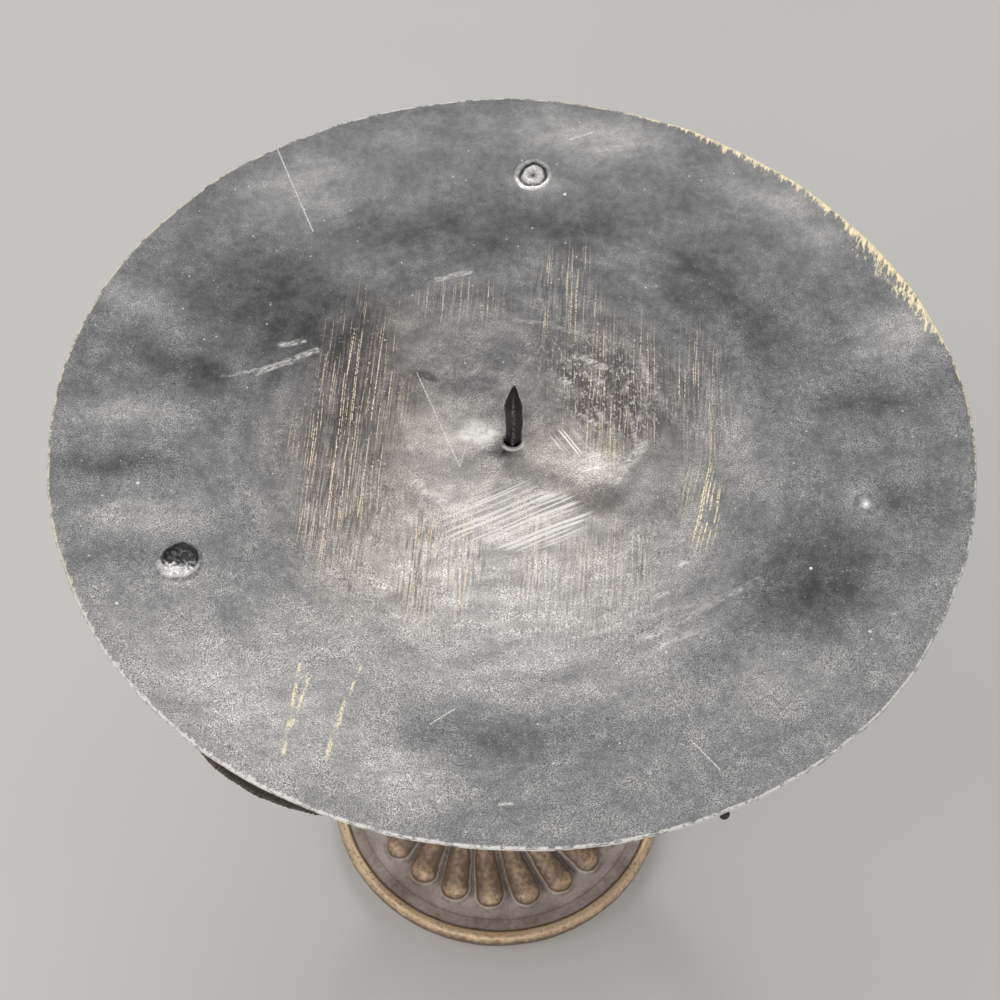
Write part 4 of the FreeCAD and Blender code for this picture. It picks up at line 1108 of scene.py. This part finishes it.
def make_rod(material):
    """Tie rod with a thread from end to end."""
    low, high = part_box("tie_rod")
    bottom = low.z / MM
    top = high.z / MM
    turns = np.linspace(0, 2 * math.pi, 40, endpoint=False)
    rings = []
    for height in np.arange(bottom, top, ROD_PITCH / 6):
        wave = np.abs((height / ROD_PITCH - turns / (2 * math.pi)) % 1.0 - 0.5) * 2
        chamfer = ROD_CHAMFER * max(0.0, 1 - (height - bottom) / CHAMFER_HEIGHT)
        radius = ROD_RADIUS - THREAD_DEPTH * wave - chamfer
        rings.append(ring(radius, turns, height))
    return on_frame(lofted("threaded_rod", rings, material), "zinc_steel", "tie_rod")


def dress_hardware(zinc, rubber, iron):
    """Materials and eased edges for the small pieces that stay as their solids."""
    finishes = {
        "arm_rivets": iron, "top_nut": zinc, "top_washer": zinc, "foot_nut": zinc,
        "foot_washer": zinc, "foot_lock_washer": zinc, "foot_bumpers": rubber,
    }
    for node, material in finishes.items():
        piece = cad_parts[node]
        piece.data.materials.clear()
        piece.data.materials.append(material)
        eased = piece.modifiers.new("eased", "BEVEL")
        eased.width = HARDWARE_EASE * MM
        eased.segments = 2
        eased.limit_method = "ANGLE"


# Scene

# Half the floor's width, in metres
FLOOR_HALF = 40.0
# Soft boxes: name, azimuth, elevation, distance and width in metres, and power
SOFTBOXES = (
    ("back_box", 93, 46, 0.95, 0.42, 2.6),
    ("left_box", 200, 48, 1.2, 0.8, 2.6),
    ("front_box", 262, 20, 1.1, 0.7, 4.2),
)
SURROUND = 0.5


def make_floor():
    """Broad pale floor."""
    mesh = bpy.data.meshes.new("floor")
    corners = [(FLOOR_HALF * x, FLOOR_HALF * y, 0) for x, y in ((-1, -1), (1, -1), (1, 1), (-1, 1))]
    mesh.from_pydata(corners, [], [(0, 1, 2, 3)])
    link("floor", mesh, floor_paper())


def make_camera():
    """Camera at the photograph's angle, looking a little past the middle of the pan's rim."""
    target = Vector((0, 0, PAN_RIM))
    elevation = math.radians(CAMERA_ELEVATION)
    offset = Vector((0, -math.cos(elevation), math.sin(elevation))) * CAMERA_DISTANCE
    ahead = -offset.normalized()
    right = Vector((1, 0, 0))
    up = right.cross(ahead)
    ahead = (ahead + right * CAMERA_LOOK_RIGHT + up * CAMERA_LOOK_UP).normalized()
    right = ahead.cross(up).normalized()
    up = right.cross(ahead)
    rolled_right = right * math.cos(CAMERA_ROLL) + up * math.sin(CAMERA_ROLL)
    rolled_up = up * math.cos(CAMERA_ROLL) - right * math.sin(CAMERA_ROLL)
    data = bpy.data.cameras.new("camera")
    data.lens = LENS
    data.sensor_width = SENSOR
    camera = bpy.data.objects.new("camera", data)
    turn = Matrix((rolled_right, rolled_up, -ahead)).transposed().to_4x4()
    camera.matrix_world = Matrix.Translation((target + offset) * MM) @ turn
    bpy.context.scene.collection.objects.link(camera)
    bpy.context.scene.camera = camera


def softbox(name, azimuth, elevation, distance, width, power):
    """Square lamp that faces the pan from a direction."""
    data = bpy.data.lights.new(name, "AREA")
    data.shape = "SQUARE"
    data.size = width
    data.energy = power
    lamp = bpy.data.objects.new(name, data)
    turn = math.radians(azimuth)
    lift = math.radians(elevation)
    way = Vector((math.cos(turn) * math.cos(lift), math.sin(turn) * math.cos(lift), math.sin(lift)))
    lamp.location = Vector((0, 0, PAN_RIM * MM)) + way * distance
    lamp.rotation_euler = way.to_track_quat("Z", "Y").to_euler()
    bpy.context.scene.collection.objects.link(lamp)


def make_light():
    """Soft studio light: boxes from behind, from the left and low in front, and an even surround."""
    world = bpy.data.worlds.new("studio")
    world.use_nodes = True
    surround = world.node_tree.nodes["Background"]
    surround.inputs["Color"].default_value = (1.0, 1.0, 1.0, 1.0)
    surround.inputs["Strength"].default_value = SURROUND
    bpy.context.scene.world = world
    for box in SOFTBOXES:
        softbox(*box)
    bpy.context.scene.view_settings.view_transform = "Standard"


make_camera()
make_floor()
make_light()

paint = pan_paint()
iron_black = black_iron("arm_black", *ARM_BLACK)
zinc = zinc_steel()
make_pan(paint)
make_drip(iron_black)
weld = weld_metal()
for side in ARM_SIDES:
    make_weld(side, weld)
make_pricket(black_iron("spike_black", *SPIKE_BLACK))
make_iron_and_bronze(iron_black, bronze_cast())
make_rod(zinc)
dress_hardware(zinc, bumper_rubber(), iron_black)
